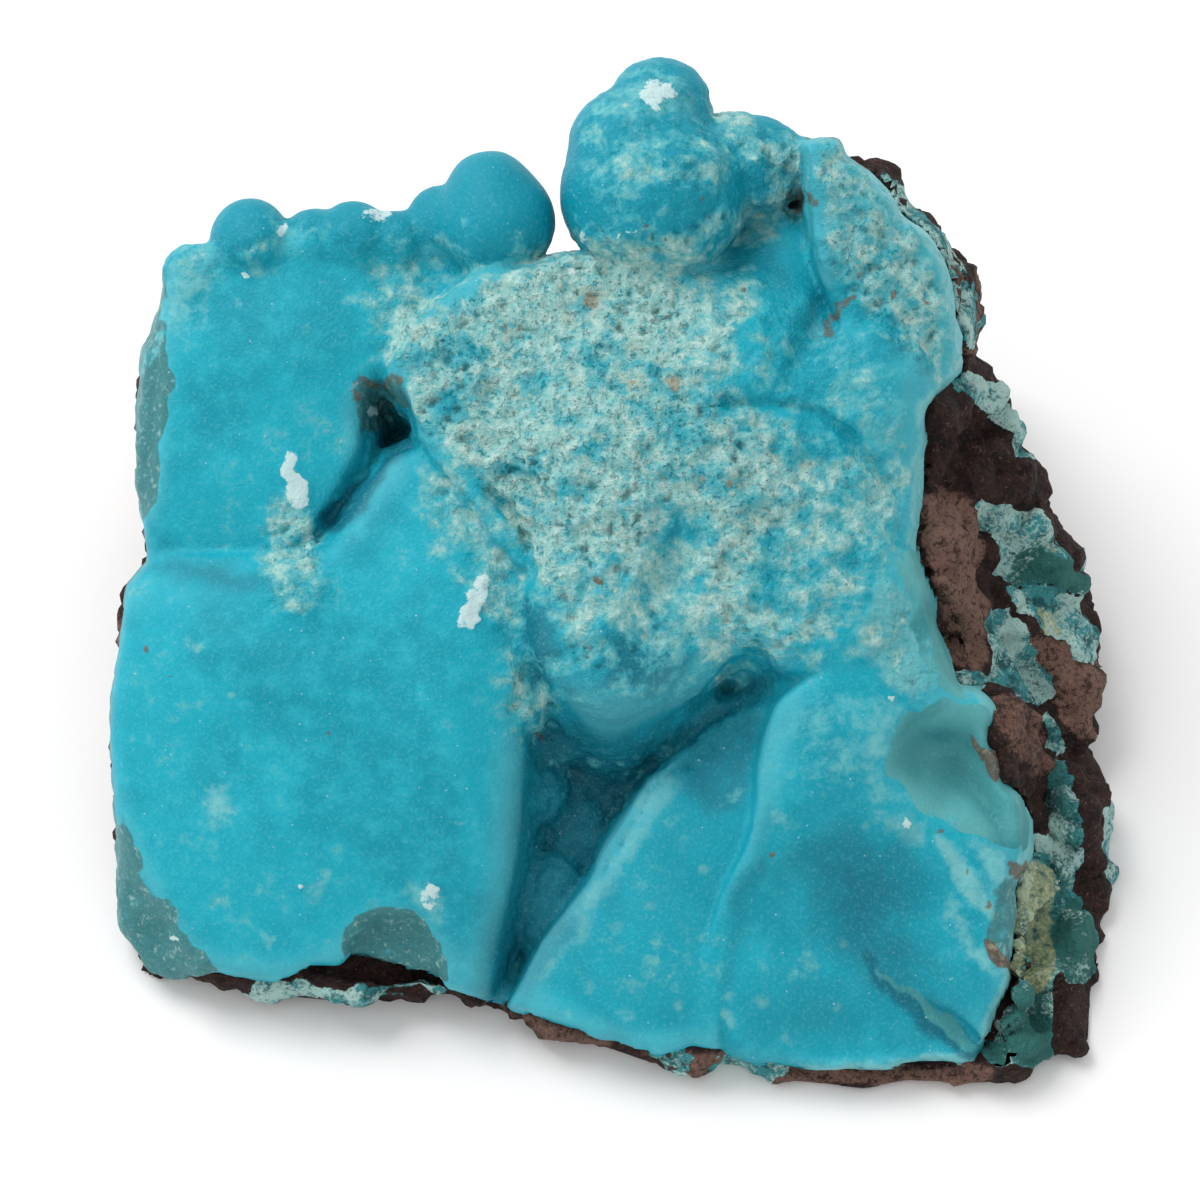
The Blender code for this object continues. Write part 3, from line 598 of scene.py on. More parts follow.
def stoneField(across, down, near, step):
    # negative inside: in front of the back, behind the face, over the table and within the outline
    acrossGrid, downGrid = np.meshgrid(across, down)
    front = frontNear(acrossGrid, downGrid)
    slope = steepness(front, step)
    field = (near[None, None, :] - front[:, :, None]) / slope[:, :, None]
    outline = outlineDistance(stoneForm["outline"], acrossGrid, downGrid) * view["pixel"]
    fromAcross = acrossGrid - stoneForm["flankMiddle"][0]
    fromDown = downGrid - stoneForm["flankMiddle"][1]
    radius = np.hypot(fromAcross, fromDown) * view["pixel"]
    layerNear, layerDraw, layerRough = zip(*stoneForm["flankLayers"][::-1])
    drawIn = np.interp(near, layerNear, layerDraw)
    rough = np.interp(near, layerNear, layerRough)
    turning = np.arctan2(fromDown, fromAcross)
    turns = np.linspace(-math.pi, math.pi, 721)
    ringAcross = np.cos(turns) * stoneForm["flankRing"]
    ringDown = np.sin(turns) * stoneForm["flankRing"]
    for index, depth in enumerate(near):
        flank = drawIn[index] * radius - outline
        if rough[index] > 0:
            ring = np.stack([ringAcross, ringDown, np.full(turns.shape, depth)], -1)
            wobble = 0.5 + 0.5 * mottle(ring, 5.0, 5)
            flank += rough[index] * radius * np.interp(turning, turns, wobble)
        up = (view["middlePixel"] - down) * view["pixel"]
        up = up * (view["eyeDistance"] - depth) / view["eyeDistance"]
        height = view["middleHeight"] + up * cosTilt + depth * sinTilt
        field[:, :, index] = softMax(field[:, :, index], flank, 0.4)
        field[:, :, index] = np.maximum(field[:, :, index], -height[:, None])
    return field, front


def backField(across, down, near, field):
    wide = np.arange(-36.0, 36.1, 0.4)
    high = np.arange(-30.0, 60.1, 0.4)
    wideGrid, highGrid = np.meshgrid(wide, high)
    lumps = chips(11, wideGrid / view["pixel"], highGrid / view["pixel"], (-600, 600, 0, 700))
    back = stoneForm["backAtTable"] - stoneForm["backSlope"] * highGrid
    back = back + stoneForm["backChips"] * lumps - stoneForm["backBend"] * wideGrid ** 2
    acrossGrid, downGrid = np.meshgrid(across, down)
    for index, depth in enumerate(near):
        spot = place(acrossGrid, downGrid, depth)
        y = spot[..., 1] - view["stoneShift"][1]
        if y.max() < stoneForm["backAtTable"] - 8:
            continue
        behind = y - readOff(back, spot[..., 0] - view["stoneShift"][0], spot[..., 2], wide, high)
        field[:, :, index] = softMax(field[:, :, index], behind, 0.4)


def knobField(across, down, near, field, blend):
    # balls are fused onto the crust, each in its own small part of the grid
    for middle, halfSize, centre, radius in knobs.values():
        reach = 1.5
        columns = np.flatnonzero(np.abs(across - middle[0]) < reach * halfSize[0] + 8)
        rows = np.flatnonzero(np.abs(down - middle[1]) < reach * halfSize[1] + 8)
        depths = np.flatnonzero(np.abs(near - centre) < reach * radius + 0.6)
        part = np.ix_(rows, columns, depths)
        u = (across[columns] - middle[0])[None, :, None] / halfSize[0]
        v = (down[rows] - middle[1])[:, None, None] / halfSize[1]
        w = (near[depths] - centre)[None, None, :] / radius
        ball = (np.sqrt(u * u + v * v + w * w) - 1) * min(radius, min(halfSize) * view["pixel"])
        field[part] = -softMax(-field[part], -ball, blend)


def meshFrom(field, across, down, near):
    cells, quads = surfaceNet(field)
    rows = np.interp(cells[:, 0], np.arange(len(down)), down)
    columns = np.interp(cells[:, 1], np.arange(len(across)), across)
    depths = np.interp(cells[:, 2], np.arange(len(near)), near)
    return np.stack([columns, rows, depths], -1), quads


def relax(points, quads, rounds):
    # evens the cells out, so the grid they came from doesn't show
    for turn in range(rounds):
        total = np.zeros_like(points)
        count = np.zeros(len(points))
        for first, second in ((0, 1), (1, 2), (2, 3), (3, 0)):
            for here, there in ((first, second), (second, first)):
                for axis in range(3):
                    total[:, axis] += np.bincount(quads[:, here], points[quads[:, there], axis], len(points))
                count += np.bincount(quads[:, here], minlength=len(points))
        points = points + 0.5 * (total / np.maximum(count, 1)[:, None] - points)
    return points


def vertexNormals(points, quads):
    cross = np.cross(points[quads[:, 2]] - points[quads[:, 0]], points[quads[:, 3]] - points[quads[:, 1]])
    normals = np.zeros_like(points)
    for corner in range(4):
        for axis in range(3):
            normals[:, axis] += np.bincount(quads[:, corner], cross[:, axis], len(points))
    return normals / np.maximum(np.linalg.norm(normals, axis=1), 1e-9)[:, None]


def largestPart(points, quads):
    # drops loose crumbs: every vertex takes the lowest number that reaches it along the quads
    label = np.arange(len(points))
    while True:
        lowest = label.copy()
        each = label[quads].min(1)
        for corner in range(4):
            np.minimum.at(lowest, quads[:, corner], each)
        for turn in range(4):
            lowest = lowest[lowest]
        if np.array_equal(lowest, label):
            break
        label = lowest
    names, sizes = np.unique(label, return_counts=True)
    keep = label == names[np.argmax(sizes)]
    renumber = np.cumsum(keep) - 1
    return points[keep], renumber[quads[keep[quads].all(1)]], keep


def makePiece(name, points, quads, masks, box):
    low, high = [np.array(corner) / millimetre for corner in box]
    points = np.clip(points, low + 0.01, high - 0.01)
    mesh = bpy.data.meshes.new(name)
    mesh.vertices.add(len(points))
    mesh.vertices.foreach_set("co", (points * millimetre).astype(np.float32).ravel())
    mesh.loops.add(len(quads) * 4)
    mesh.loops.foreach_set("vertex_index", quads.astype(np.int32).ravel())
    mesh.polygons.add(len(quads))
    mesh.polygons.foreach_set("loop_start", np.arange(0, len(quads) * 4, 4, dtype=np.int32))
    mesh.polygons.foreach_set("use_smooth", np.ones(len(quads), bool))
    mesh.update(calc_edges=True)
    mesh.validate()
    for maskName, values in masks.items():
        layer = mesh.attributes.new(maskName, "FLOAT", "POINT")
        layer.data.foreach_set("value", np.clip(values, -10, 10).astype(np.float32))
    piece = bpy.data.objects.new(name, mesh)
    bpy.context.scene.collection.objects.link(piece)
    report("%s: %d vertices, %d quads" % (name, len(points), len(quads)))
    return piece


# Where the photo shows which stone: outline in its pixels, strength, and how softly the edge fades.
crustPatches = {
    "pale": [
        ([(376, 332), (410, 306), (470, 286), (540, 248), (610, 240), (680, 262), (710, 320), (690, 370),
          (720, 408), (780, 430), (815, 480), (812, 520), (790, 540), (752, 570), (740, 610), (780, 640),
          (800, 660), (745, 660), (706, 620), (690, 560), (680, 520), (650, 560), (606, 566), (570, 610),
          (560, 670), (585, 700), (560, 690), (545, 612), (530, 560), (500, 510), (470, 475), (432, 446),
          (405, 410)], 1.0, 44),
        ([(383, 345), (400, 378), (410, 420), (430, 446), (475, 475), (512, 520), (537, 565), (545, 612),
          (556, 655), (575, 688), (602, 706), (640, 708), (690, 694), (722, 676), (740, 660), (775, 672),
          (800, 665), (822, 650), (845, 620), (870, 590), (890, 560), (905, 540), (918, 500), (921, 470),
          (850, 440), (764, 410), (730, 360), (762, 300), (778, 262), (745, 268), (700, 268), (655, 262),
          (605, 246), (565, 236), (530, 250), (470, 282), (420, 302)], 0.78, 50),
        ([(590, 90), (640, 54), (696, 66), (716, 130), (716, 200), (670, 240), (600, 230), (572, 170)],
         0.36, 40),
        ([(735, 296), (800, 286), (850, 330), (905, 400), (918, 470), (850, 440), (760, 410), (730, 350)],
         0.5, 50),
        ([(425, 440), (480, 480), (530, 550), (546, 600), (548, 660), (505, 650), (478, 615), (450, 560),
          (425, 500)], 0.62, 60),
        ([(268, 500), (296, 500), (318, 520), (330, 560), (318, 600), (296, 618), (272, 600), (256, 556)],
         0.8, 34),
        ([(350, 240), (420, 220), (500, 270), (450, 330), (380, 345), (350, 300)], 0.45, 60),
        ([(575, 225), (640, 240), (700, 215), (742, 195), (800, 150), (812, 200), (760, 240), (700, 272),
          (650, 282), (598, 268)], 0.8, 40),
        ([(590, 110), (650, 150), (720, 120), (790, 140), (810, 190), (740, 200), (640, 190), (580, 180)],
         0.66, 60),
        ([(700, 80), (752, 112), (805, 142), (812, 200), (770, 200), (730, 160), (700, 120)], 0.8, 40),
        ([(808, 140), (846, 142), (884, 198), (938, 262), (958, 350), (930, 390), (880, 345), (846, 300),
          (818, 250)], 0.88, 40),
        ([(890, 560), (915, 600), (944, 690), (900, 690), (850, 655), (866, 610)], 0.66, 40),
        ([(500, 640), (548, 640), (570, 700), (560, 760), (520, 750), (500, 700)], 0.85, 40),
        ([(150, 250), (215, 235), (290, 225), (350, 220), (350, 250), (240, 270), (180, 300)], 0.45, 40),
    ],
    "bloom": [
        ([(890, 560), (915, 600), (944, 690), (900, 694), (850, 655), (866, 610)], 1.0, 30),
        ([(865, 690), (900, 690), (905, 720), (880, 760), (905, 806), (935, 830), (925, 860), (880, 820),
          (850, 760)], 0.75, 44),
        ([(926, 836), (950, 846), (990, 890), (1008, 930), (980, 912), (944, 872)], 0.95, 18),
        ([(960, 838), (1000, 844), (1018, 880), (1010, 908), (984, 872)], 0.8, 22),
        ([(940, 890), (962, 906), (994, 960), (1000, 985), (974, 968), (952, 930)], 0.8, 26),
        ([(770, 700), (860, 690), (890, 750), (850, 800), (780, 800)], 0.5, 70),
        ([(790, 300), (860, 330), (905, 400), (915, 520), (890, 560), (850, 440)], 0.5, 50),
        ([(160, 270), (210, 250), (220, 290), (190, 340), (165, 350)], 0.7, 50),
        ([(640, 772), (694, 778), (676, 800), (640, 860), (600, 910), (560, 960), (540, 990), (530, 975),
          (575, 905), (625, 835)], 0.62, 22),
        ([(196, 780), (232, 786), (226, 830), (200, 836)], 0.7, 30),
        ([(395, 880), (440, 880), (450, 930), (430, 920), (400, 900)], 0.6, 24),
        ([(430, 480), (480, 500), (470, 560), (440, 560), (425, 520)], 0.6, 50),
        ([(600, 60), (700, 66), (700, 130), (640, 150), (600, 130)], 0.55, 60),
        ([(760, 820), (800, 812), (800, 836), (766, 840)], 0.5, 18),
    ],
    "broken": [
        ([(166, 262), (168, 300), (165, 350), (167, 400), (162, 450), (158, 485), (150, 524), (120, 524),
          (120, 260)], 0.9, 12),
        ([(112, 800), (122, 820), (132, 842), (143, 866), (160, 892), (172, 908), (182, 928), (196, 944),
          (212, 966), (230, 990), (150, 1000), (90, 960), (90, 800)], 1.0, 10),
        ([(342, 962), (350, 938), (361, 916), (383, 906), (414, 912), (430, 926), (438, 946), (450, 980),
          (400, 975), (344, 970)], 1.0, 8),
        ([(352, 380), (396, 378), (402, 410), (396, 428), (366, 432), (352, 408)], 0.8, 12),
        ([(1000, 870), (1030, 860), (1020, 960), (1000, 985), (985, 940)], 0.6, 20),
    ],
    "sheer": [
        ([(884, 738), (901, 710), (928, 700), (984, 702), (996, 730), (1014, 786), (1030, 822), (1026, 850),
          (987, 838), (937, 824), (903, 790), (888, 762)], 1.0, 10),
        ([(899, 548), (919, 546), (944, 607), (964, 694), (944, 700), (926, 653), (911, 604)], 1.0, 6),
        ([(868, 950), (890, 972), (925, 1000), (955, 1010), (984, 1044), (970, 1054), (930, 1030),
          (900, 1000), (876, 980)], 0.65, 20),
        ([(983, 1050), (1000, 1010), (1012, 986), (1040, 980), (1056, 1010), (1040, 1062), (985, 1068)],
         0.9, 12),
        ([(500, 1000), (560, 990), (640, 1040), (560, 1040)], 0.4, 20),
    ],
    # painted shade in the grooves, hollows and dents, the crack, the cleft beside the big ball and below the
    # dome
    "paintedShade": [
        ([(520, 700), (560, 700), (600, 730), (660, 725), (720, 690), (760, 668), (800, 674), (760, 704),
          (700, 740), (650, 790), (606, 860), (560, 940), (520, 1010), (468, 1010), (486, 950), (502, 880),
          (514, 800)], 0.62, 40),
        ([(866, 938), (884, 966), (904, 990), (930, 1006), (958, 1018), (990, 1050), (972, 1058), (938, 1044),
          (903, 1020), (876, 990), (860, 960)], 0.8, 14),
        ([(560, 660), (600, 700), (650, 700), (700, 680), (720, 700), (650, 736), (590, 736), (556, 700)],
         0.5, 30),
        ([(560, 920), (600, 860), (680, 770), (750, 720), (756, 800), (730, 900), (720, 1040), (540, 1000)],
         0.3, 60),
        ([(520, 590), (546, 600), (556, 660), (566, 710), (530, 690), (524, 640)], 0.7, 26),
        ([(790, 850), (850, 820), (912, 840), (925, 880), (925, 940), (975, 1020), (960, 1040), (915, 1015),
          (880, 990), (850, 970), (800, 930)], 0.64, 130),
        ([(640, 770), (700, 715), (760, 690), (770, 730), (760, 790), (735, 830), (680, 810)], 0.5, 60),
        ([(672, 500), (700, 520), (690, 580), (650, 640), (618, 650), (640, 600), (662, 560)], 0.55, 40),
        ([(600, 610), (640, 580), (690, 600), (696, 680), (640, 704), (596, 690)], 0.66, 50),
        ([(740, 940), (860, 950), (880, 1050), (740, 1050)], 0.34, 60),
        ([(690, 226), (760, 214), (800, 240), (790, 300), (740, 300), (700, 276)], 0.45, 50),
        ([(812, 250), (836, 300), (820, 340), (800, 330)], 0.4, 30),
        ([(716, 1000), (728, 920), (748, 850), (770, 860), (752, 930), (740, 1010)], 0.45, 40),
        ([(150, 560), (260, 566), (300, 560), (290, 584), (200, 590)], 0.5, 36),
        ([(310, 520), (345, 500), (372, 470), (396, 440), (420, 436), (400, 462), (372, 500), (340, 548)],
         0.8, 14),
    ],
    "chip": [
        ([(285, 455), (297, 452), (300, 470), (310, 478), (313, 495), (305, 512), (290, 505), (280, 490)],
         1.0, 12),
        ([(478, 575), (490, 572), (485, 600), (482, 620), (475, 632), (462, 625), (458, 615), (463, 595)],
         1.0, 12),
        ([(642, 84), (658, 80), (672, 88), (674, 102), (664, 113), (648, 112), (640, 100)], 0.86, 12),
        ([(357, 210), (372, 205), (393, 208), (390, 218), (372, 221), (360, 219)], 0.9, 12),
        ([(273, 229), (285, 224), (293, 231), (288, 242), (276, 240)], 1.0, 12),
        ([(418, 886), (430, 882), (437, 890), (432, 904), (421, 905)], 0.9, 12),
        ([(300, 520), (318, 540), (312, 556), (300, 545)], 0.7, 14),
        ([(600, 226), (640, 232), (664, 226), (650, 240), (612, 240)], 0.6, 14),
    ],
    "earth": [
        ([(358, 380), (376, 374), (398, 378), (400, 390), (384, 392), (362, 392)], 0.75, 8),
        ([(820, 330), (836, 306), (858, 292), (862, 302), (842, 318), (828, 338)], 0.8, 6),
        ([(780, 194), (812, 188), (814, 206), (790, 212)], 0.8, 8),
        ([(964, 734), (980, 742), (1000, 775), (994, 790), (976, 768)], 1.0, 8),
        ([(1000, 860), (1024, 856), (1030, 872), (1012, 880)], 1.0, 6),
        ([(984, 934), (1000, 940), (1014, 976), (1004, 984), (990, 962)], 1.0, 6),
    ],
}

# Single specks: strength, and then across, down and size in pixels of each.
crustSpecks = {
    "bloom": (0.62, [
        (312, 892, 13), (264, 943, 11), (707, 870, 9), (628, 1012, 10), (814, 961, 11), (844, 936, 8),
        (737, 1000, 9), (777, 819, 9), (633, 980, 10), (732, 1015, 8), (791, 1043, 9), (836, 1006, 8),
        (586, 983, 8), (758, 998, 8), (650, 905, 8), (616, 931, 9), (567, 1013, 9), (866, 827, 10),
        (903, 685, 12), (690, 962, 7), (670, 1000, 7), (236, 311, 8), (258, 267, 10), (309, 333, 8),
        (412, 319, 10), (192, 641, 7), (324, 876, 8), (258, 891, 8), (515, 949, 7), (226, 700, 6),
        (380, 812, 6), (206, 442, 7), (344, 300, 9), (178, 836, 8), (460, 820, 6), (900, 640, 9),
        (610, 110, 12), (690, 170, 10), (632, 190, 9), (664, 214, 9), (588, 160, 9), (648, 140, 8)]),
    "chip": (0.9, [
        (249, 275, 6), (569, 268, 6), (376, 412, 8), (589, 234, 6), (889, 698, 6), (912, 822, 7),
        (300, 888, 4), (176, 934, 5), (552, 1004, 4), (700, 764, 4)]),
    "earth": (0.85, [
        (147, 647, 5), (168, 670, 3), (173, 683, 3), (332, 738, 4), (768, 861, 6), (598, 586, 7),
        (539, 736, 7), (891, 294, 7), (742, 283, 5), (353, 399, 7), (943, 840, 6), (968, 875, 6),
        (991, 905, 6), (584, 196, 5), (668, 238, 6), (700, 196, 4), (640, 232, 4), (926, 306, 6)]),
}

# The same for the rock.
rockPatches = {
    "teal": [
        ([(862, 168), (886, 178), (926, 216), (956, 255), (974, 290), (979, 312), (974, 340), (958, 352),
          (946, 320), (938, 268), (898, 222)], 0.8, 14),
        ([(938, 380), (958, 356), (987, 386), (1012, 414), (1033, 444), (1038, 462), (1012, 457), (1010, 430),
          (965, 400)], 1.0, 8),
        ([(969, 498), (1010, 503), (1046, 521), (1078, 553), (1092, 575), (1087, 594), (1055, 589),
          (1019, 575), (996, 535)], 1.0, 7),
        ([(1010, 580), (1055, 589), (1087, 598), (1108, 635), (1100, 662), (1078, 666), (1051, 635),
          (1019, 607)], 1.0, 7),
        ([(992, 607), (1019, 612), (1033, 635), (1046, 671), (1055, 707), (1010, 698), (992, 671)], 1.0, 7),
        ([(1051, 762), (1069, 770), (1083, 807), (1083, 850), (1074, 885), (1060, 907), (1042, 880),
          (1032, 853), (1046, 803)], 1.0, 7),
        ([(1099, 800), (1122, 800), (1124, 894), (1108, 900), (1100, 860)], 1.0, 7),
        ([(1060, 900), (1080, 885), (1092, 930), (1087, 985), (1060, 980), (1052, 940)], 1.0, 7),
        ([(983, 1050), (1004, 1005), (1030, 975), (1056, 984), (1058, 1020), (1046, 1062), (985, 1068)],
         1.0, 8),
        ([(1010, 862), (1040, 860), (1060, 905), (1058, 985), (1020, 990), (1004, 930)], 1.0, 8),
        ([(700, 1056), (790, 1054), (796, 1072), (760, 1078), (704, 1070)], 0.85, 8),
        ([(225, 978), (330, 984), (440, 982), (452, 996), (380, 1004), (300, 1004), (220, 984)], 0.75, 8),
        ([(640, 1046), (700, 1050), (690, 1062), (650, 1062)], 0.7, 8),
        ([(952, 676), (990, 676), (992, 696), (956, 700)], 0.9, 6),
        ([(1044, 705), (1062, 720), (1066, 760), (1048, 752)], 0.9, 6),
    ],
    "green": [
        ([(1019, 553), (1040, 545), (1080, 562), (1092, 580), (1086, 594), (1055, 589), (1024, 577)], 1.0, 8),
        ([(1060, 900), (1080, 885), (1092, 930), (1087, 985), (1060, 980), (1052, 940)], 0.9, 10),
        ([(983, 1050), (1004, 1005), (1030, 975), (1056, 984), (1058, 1020), (1046, 1062), (985, 1068)],
         1.0, 12),
        ([(1051, 762), (1069, 770), (1083, 807), (1083, 850), (1060, 907), (1034, 860), (1046, 803)],
         0.75, 20),
    ],
    "ochre": [
        ([(1030, 602), (1058, 606), (1060, 640), (1040, 634)], 0.9, 12),
        ([(1010, 862), (1040, 860), (1060, 905), (1058, 985), (1022, 994), (1004, 930)], 0.9, 14),
        ([(1040, 536), (1062, 536), (1060, 556), (1042, 552)], 0.7, 10),
        ([(355, 912), (378, 912), (380, 940), (360, 944)], 0.6, 10),
        ([(1044, 715), (1060, 720), (1060, 755), (1046, 750)], 0.7, 8),
    ],
    "dusty": [
        ([(924, 487), (969, 494), (992, 535), (996, 553), (996, 594), (990, 635), (987, 671), (958, 675),
          (942, 607), (919, 548)], 0.9, 10),
        ([(1024, 628), (1055, 639), (1096, 680), (1096, 716), (1080, 740), (1060, 716), (1037, 662)], 0.8, 8),
        ([(992, 700), (1042, 716), (1049, 744), (1046, 780), (1020, 770), (1000, 740)], 0.6, 10),
        ([(460, 990), (520, 1004), (620, 1036), (720, 1052), (900, 1066), (1000, 1064), (980, 1090),
          (860, 1092), (700, 1068), (560, 1040)], 0.7, 10),
    ],
}


def patchMask(patches, across, down):
    mask = np.zeros(across.shape)
    for outline, strength, softness in patches:
        edge = np.asarray(outline, float)
        close = (across > edge[:, 0].min() - softness) & (across < edge[:, 0].max() + softness)
        close &= (down > edge[:, 1].min() - softness) & (down < edge[:, 1].max() + softness)
        distance = outlineDistance(rounded(outline), across[close], down[close])
        mask[close] = np.maximum(mask[close], strength * easeIn(distance / softness + 0.5))
    return mask


def addSpecks(mask, strength, specks, across, down):
    for middleAcross, middleDown, size in specks:
        distance = np.hypot(across - middleAcross, down - middleDown)
        mask = np.maximum(mask, strength * easeIn((size - distance) / size + 0.4))
    return mask


def blurred(image, width):
    # three passes of a box give a near enough bell
    for turn in range(3):
        for axis in (0, 1):
            edges = [(width + 1, width) if axis == padded else (0, 0) for padded in (0, 1)]
            total = np.cumsum(np.pad(image, edges, "edge"), axis)
            high = np.take(total, np.arange(2 * width + 1, total.shape[axis]), axis)
            low = np.take(total, np.arange(0, total.shape[axis] - 2 * width - 1), axis)
            image = (high - low) / (2 * width + 1)
    return image


def wandering(spots, coarse, fine, seed):
    # pushes places about in pixels, across and down, so no edge of a patch looks drawn
    return [coarse * mottle(spots, 1.7, seed + turn) + fine * mottle(spots, 0.6, seed + 2 + turn)
            for turn in (0, 1)]


def growStone(look):
    # the crust is what lies in front of the seam, side 1, and the rock is what lies behind it, side -1
    across, down, near = fieldGrid(look)
    field, front = stoneField(across, down, near, look["cell"])
    report("%s field %d x %d x %d" % (look["title"], *field.shape))
    backField(across, down, near, field)
    acrossGrid, downGrid = np.meshgrid(across, down)
    seam = seamNear(acrossGrid, downGrid)
    side = look["side"]
    beyond = (side * seam + look["seamGap"] / 2)[:, :, None] - side * near[None, None, :]
    beyond /= steepness(seam, look["cell"])[:, :, None]
    field = np.maximum(field, beyond)
    if side > 0:
        knobField(across, down, near, field, look["knobBlend"])
    points, quads = meshFrom(field, across, down, near)
    points, quads, kept = largestPart(points, quads)
    report("%s meshed, %d points of loose crumbs dropped" % (look["title"], np.sum(~kept)))
    spots = relax(place(points[:, 0], points[:, 1], points[:, 2]), quads, look["relax"])
    push = wandering(spots, *look["wander"])
    return {
        "points": points, "quads": quads, "spots": spots, "normals": vertexNormals(spots, quads),
        "pushedAcross": points[:, 0] + push[0], "pushedDown": points[:, 1] + push[1],
        "masks": {name: patchMask(patches, points[:, 0] + push[0], points[:, 1] + push[1])
                  for name, patches in look["patches"].items()},
        "across": across, "down": down, "front": front, "seam": seam,
    }


def readAt(grown, image):
    return readOff(image, grown["points"][:, 0], grown["points"][:, 1], grown["across"], grown["down"])


# The smithsonite crust. Sizes are in millimetres where no other unit is named.
crustLook = {
    "title": "crust",
    "side": 1,
    "cell": 4.2,               # pixels a cell: 0.24 mm
    "depthStep": 0.24,
    "nearSpan": (-22, 8),
    "seamGap": 0.5,
    "relax": 2,
    "wander": (9, 4, 41),      # coarse and fine pixels that the patches' edges wander, and a seed
    "patches": crustPatches,
    "knobBlend": 0.45,         # how far the balls flow into the crust
    "paintedShadeClearsPale": 0.45,        # how much less pale growth there is where shade is painted
    "flankBelow": 1.2,         # how far under the face the broken flank starts
    "flankTurn": 0.35,         # and how far it has turned from the eye
    "crestWidth": 5,           # cells that crests and hollows are measured over
    "reliefWidth": 16,
    "waves": 0.05,             # on the smooth shields
    "lumps": 0.28,             # small knobs in the pale crust
    "pits": 0.34,              # depth of its pits
    "rim": 14,                 # pixels of bloom along the crust's edge
    "rimFrom": 760,            # from this pixel across
    "crumbs": 0.20,            # on broken edges
    "chipRise": 0.12,
}


def buildCrust():
    look = crustLook
    grown = growStone(look)
    points, spots, normals, masks = [grown[part] for part in ("points", "spots", "normals", "masks")]
    for name, (strength, specks) in crustSpecks.items():
        masks[name] = addSpecks(masks[name], strength, specks, grown["pushedAcross"], grown["pushedDown"])
    # less pale growth where shade is painted
    masks["pale"] *= 1 - look["paintedShadeClearsPale"] * masks["paintedShade"]
    below = readAt(grown, grown["front"]) - points[:, 2]
    aboveSeam = points[:, 2] - readAt(grown, grown["seam"])
    toEye = place(view["middlePixel"], view["middlePixel"], view["eyeDistance"]) - spots
    facing = (normals * toEye).sum(1) / np.linalg.norm(toEye, axis=1)
    hidden = easeIn((0.9 - aboveSeam) / 0.3) * (facing < 0.1)
    flank = easeIn((below - look["flankBelow"]) / 1.0) * easeIn((look["flankTurn"] - facing) / 0.3)
    onFace = easeIn((below + 0.9) / 0.6)
    for name in masks:
        masks[name] *= (1 - flank) * easeIn((facing + 0.5) / 0.4)
    masks["chip"] *= easeIn(facing / 0.3)
    masks["broken"] = np.maximum(masks["broken"], flank)
    masks["depth"] = np.clip(below, 0, 9)
    # how far the face stands above or below what is around it: the crest mask carries a painted highlight and
    # the relief mask painted shade
    for name, width in (("crest", look["crestWidth"]), ("relief", look["reliefWidth"])):
        masks[name] = readAt(grown, grown["front"] - blurred(grown["front"], width)) * ((1 - flank) * onFace)
    masks["paintedShade"] *= onFace
    masks["ball"] = easeIn((-below - 0.4) / 0.9)
    rim = easeIn(1 - crustInside(points[:, 0], points[:, 1]) / look["rim"])
    rim = rim * easeIn((grown["pushedAcross"] - look["rimFrom"]) / 60) * (1 - flank)
    masks["bloom"] = np.maximum(masks["bloom"], 0.95 * rim)

    # fine relief along the surface
    pale = masks["pale"]
    smooth = 1 - np.maximum(pale, masks["broken"])
    bent = spots + 0.35 * np.stack([mottle(spots, 0.9, 71 + turn) for turn in range(3)], -1)
    patchy = easeIn(mottle(spots, 2.4, 52) * 0.9 + 0.55)
    # pits in the pale growth, dented in and given painted shade
    masks["pit"] = pale * patchy * easeIn((0.46 - pebbles(bent, 0.85, 51)) / 0.26)
    lump = 0.3 - np.clip(pebbles(bent, 0.75, 53), 0, 1) ** 2
    bigLump = 0.3 - np.clip(pebbles(bent, 1.7, 60), 0, 1) ** 2
    low = easeIn((-masks["relief"] - 0.5) / 1.6) * (1 - pale)
    rise = look["waves"] * smooth * (mottle(spots, 3.4, 54) * 1.4 + mottle(spots, 1.3, 55) * 0.6)
    rise += pale * look["lumps"] * (1.1 * lump + 1.5 * bigLump + 0.9 * mottle(spots, 0.9, 56))
    rise -= look["pits"] * masks["pit"]
    rise += low * look["lumps"] * 1.2 * (lump + bigLump)
    rise += masks["broken"] * look["crumbs"] * (shards(spots, 1.5, 58) - 1.4)
    rise += masks["chip"] * look["chipRise"]
    spots = spots + normals * (rise * (1 - hidden))[:, None]
    return makePiece("crust_grown_surface", spots, grown["quads"], masks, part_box("smithsonite_crust")), hidden


# The ironstone matrix. Sizes are in millimetres where no other unit is named.
rockLook = {
    "title": "rock",
    "side": -1,
    "cell": 6.0,               # pixels a cell: 0.35 mm
    "depthStep": 0.35,
    "nearSpan": (-34, 2),
    "seamGap": 0.5,
    "relax": 1,
    "wander": (5, 3, 61),
    "patches": rockPatches,
    "lumps": 0.22,
    "grit": 0.08,
    "shards": 1.2,             # the big broken facets
    "splinters": 0.5,          # the small ones
    "splinterShape": (0.7, 1.0, 1.6),
    "calm": 0.6,               # less of it all at the top, where the rock is thin
    "calmDown": 380,           # down to this pixel
    "flatUnder": 0.12,         # what is lower than this lies flat on the table
}


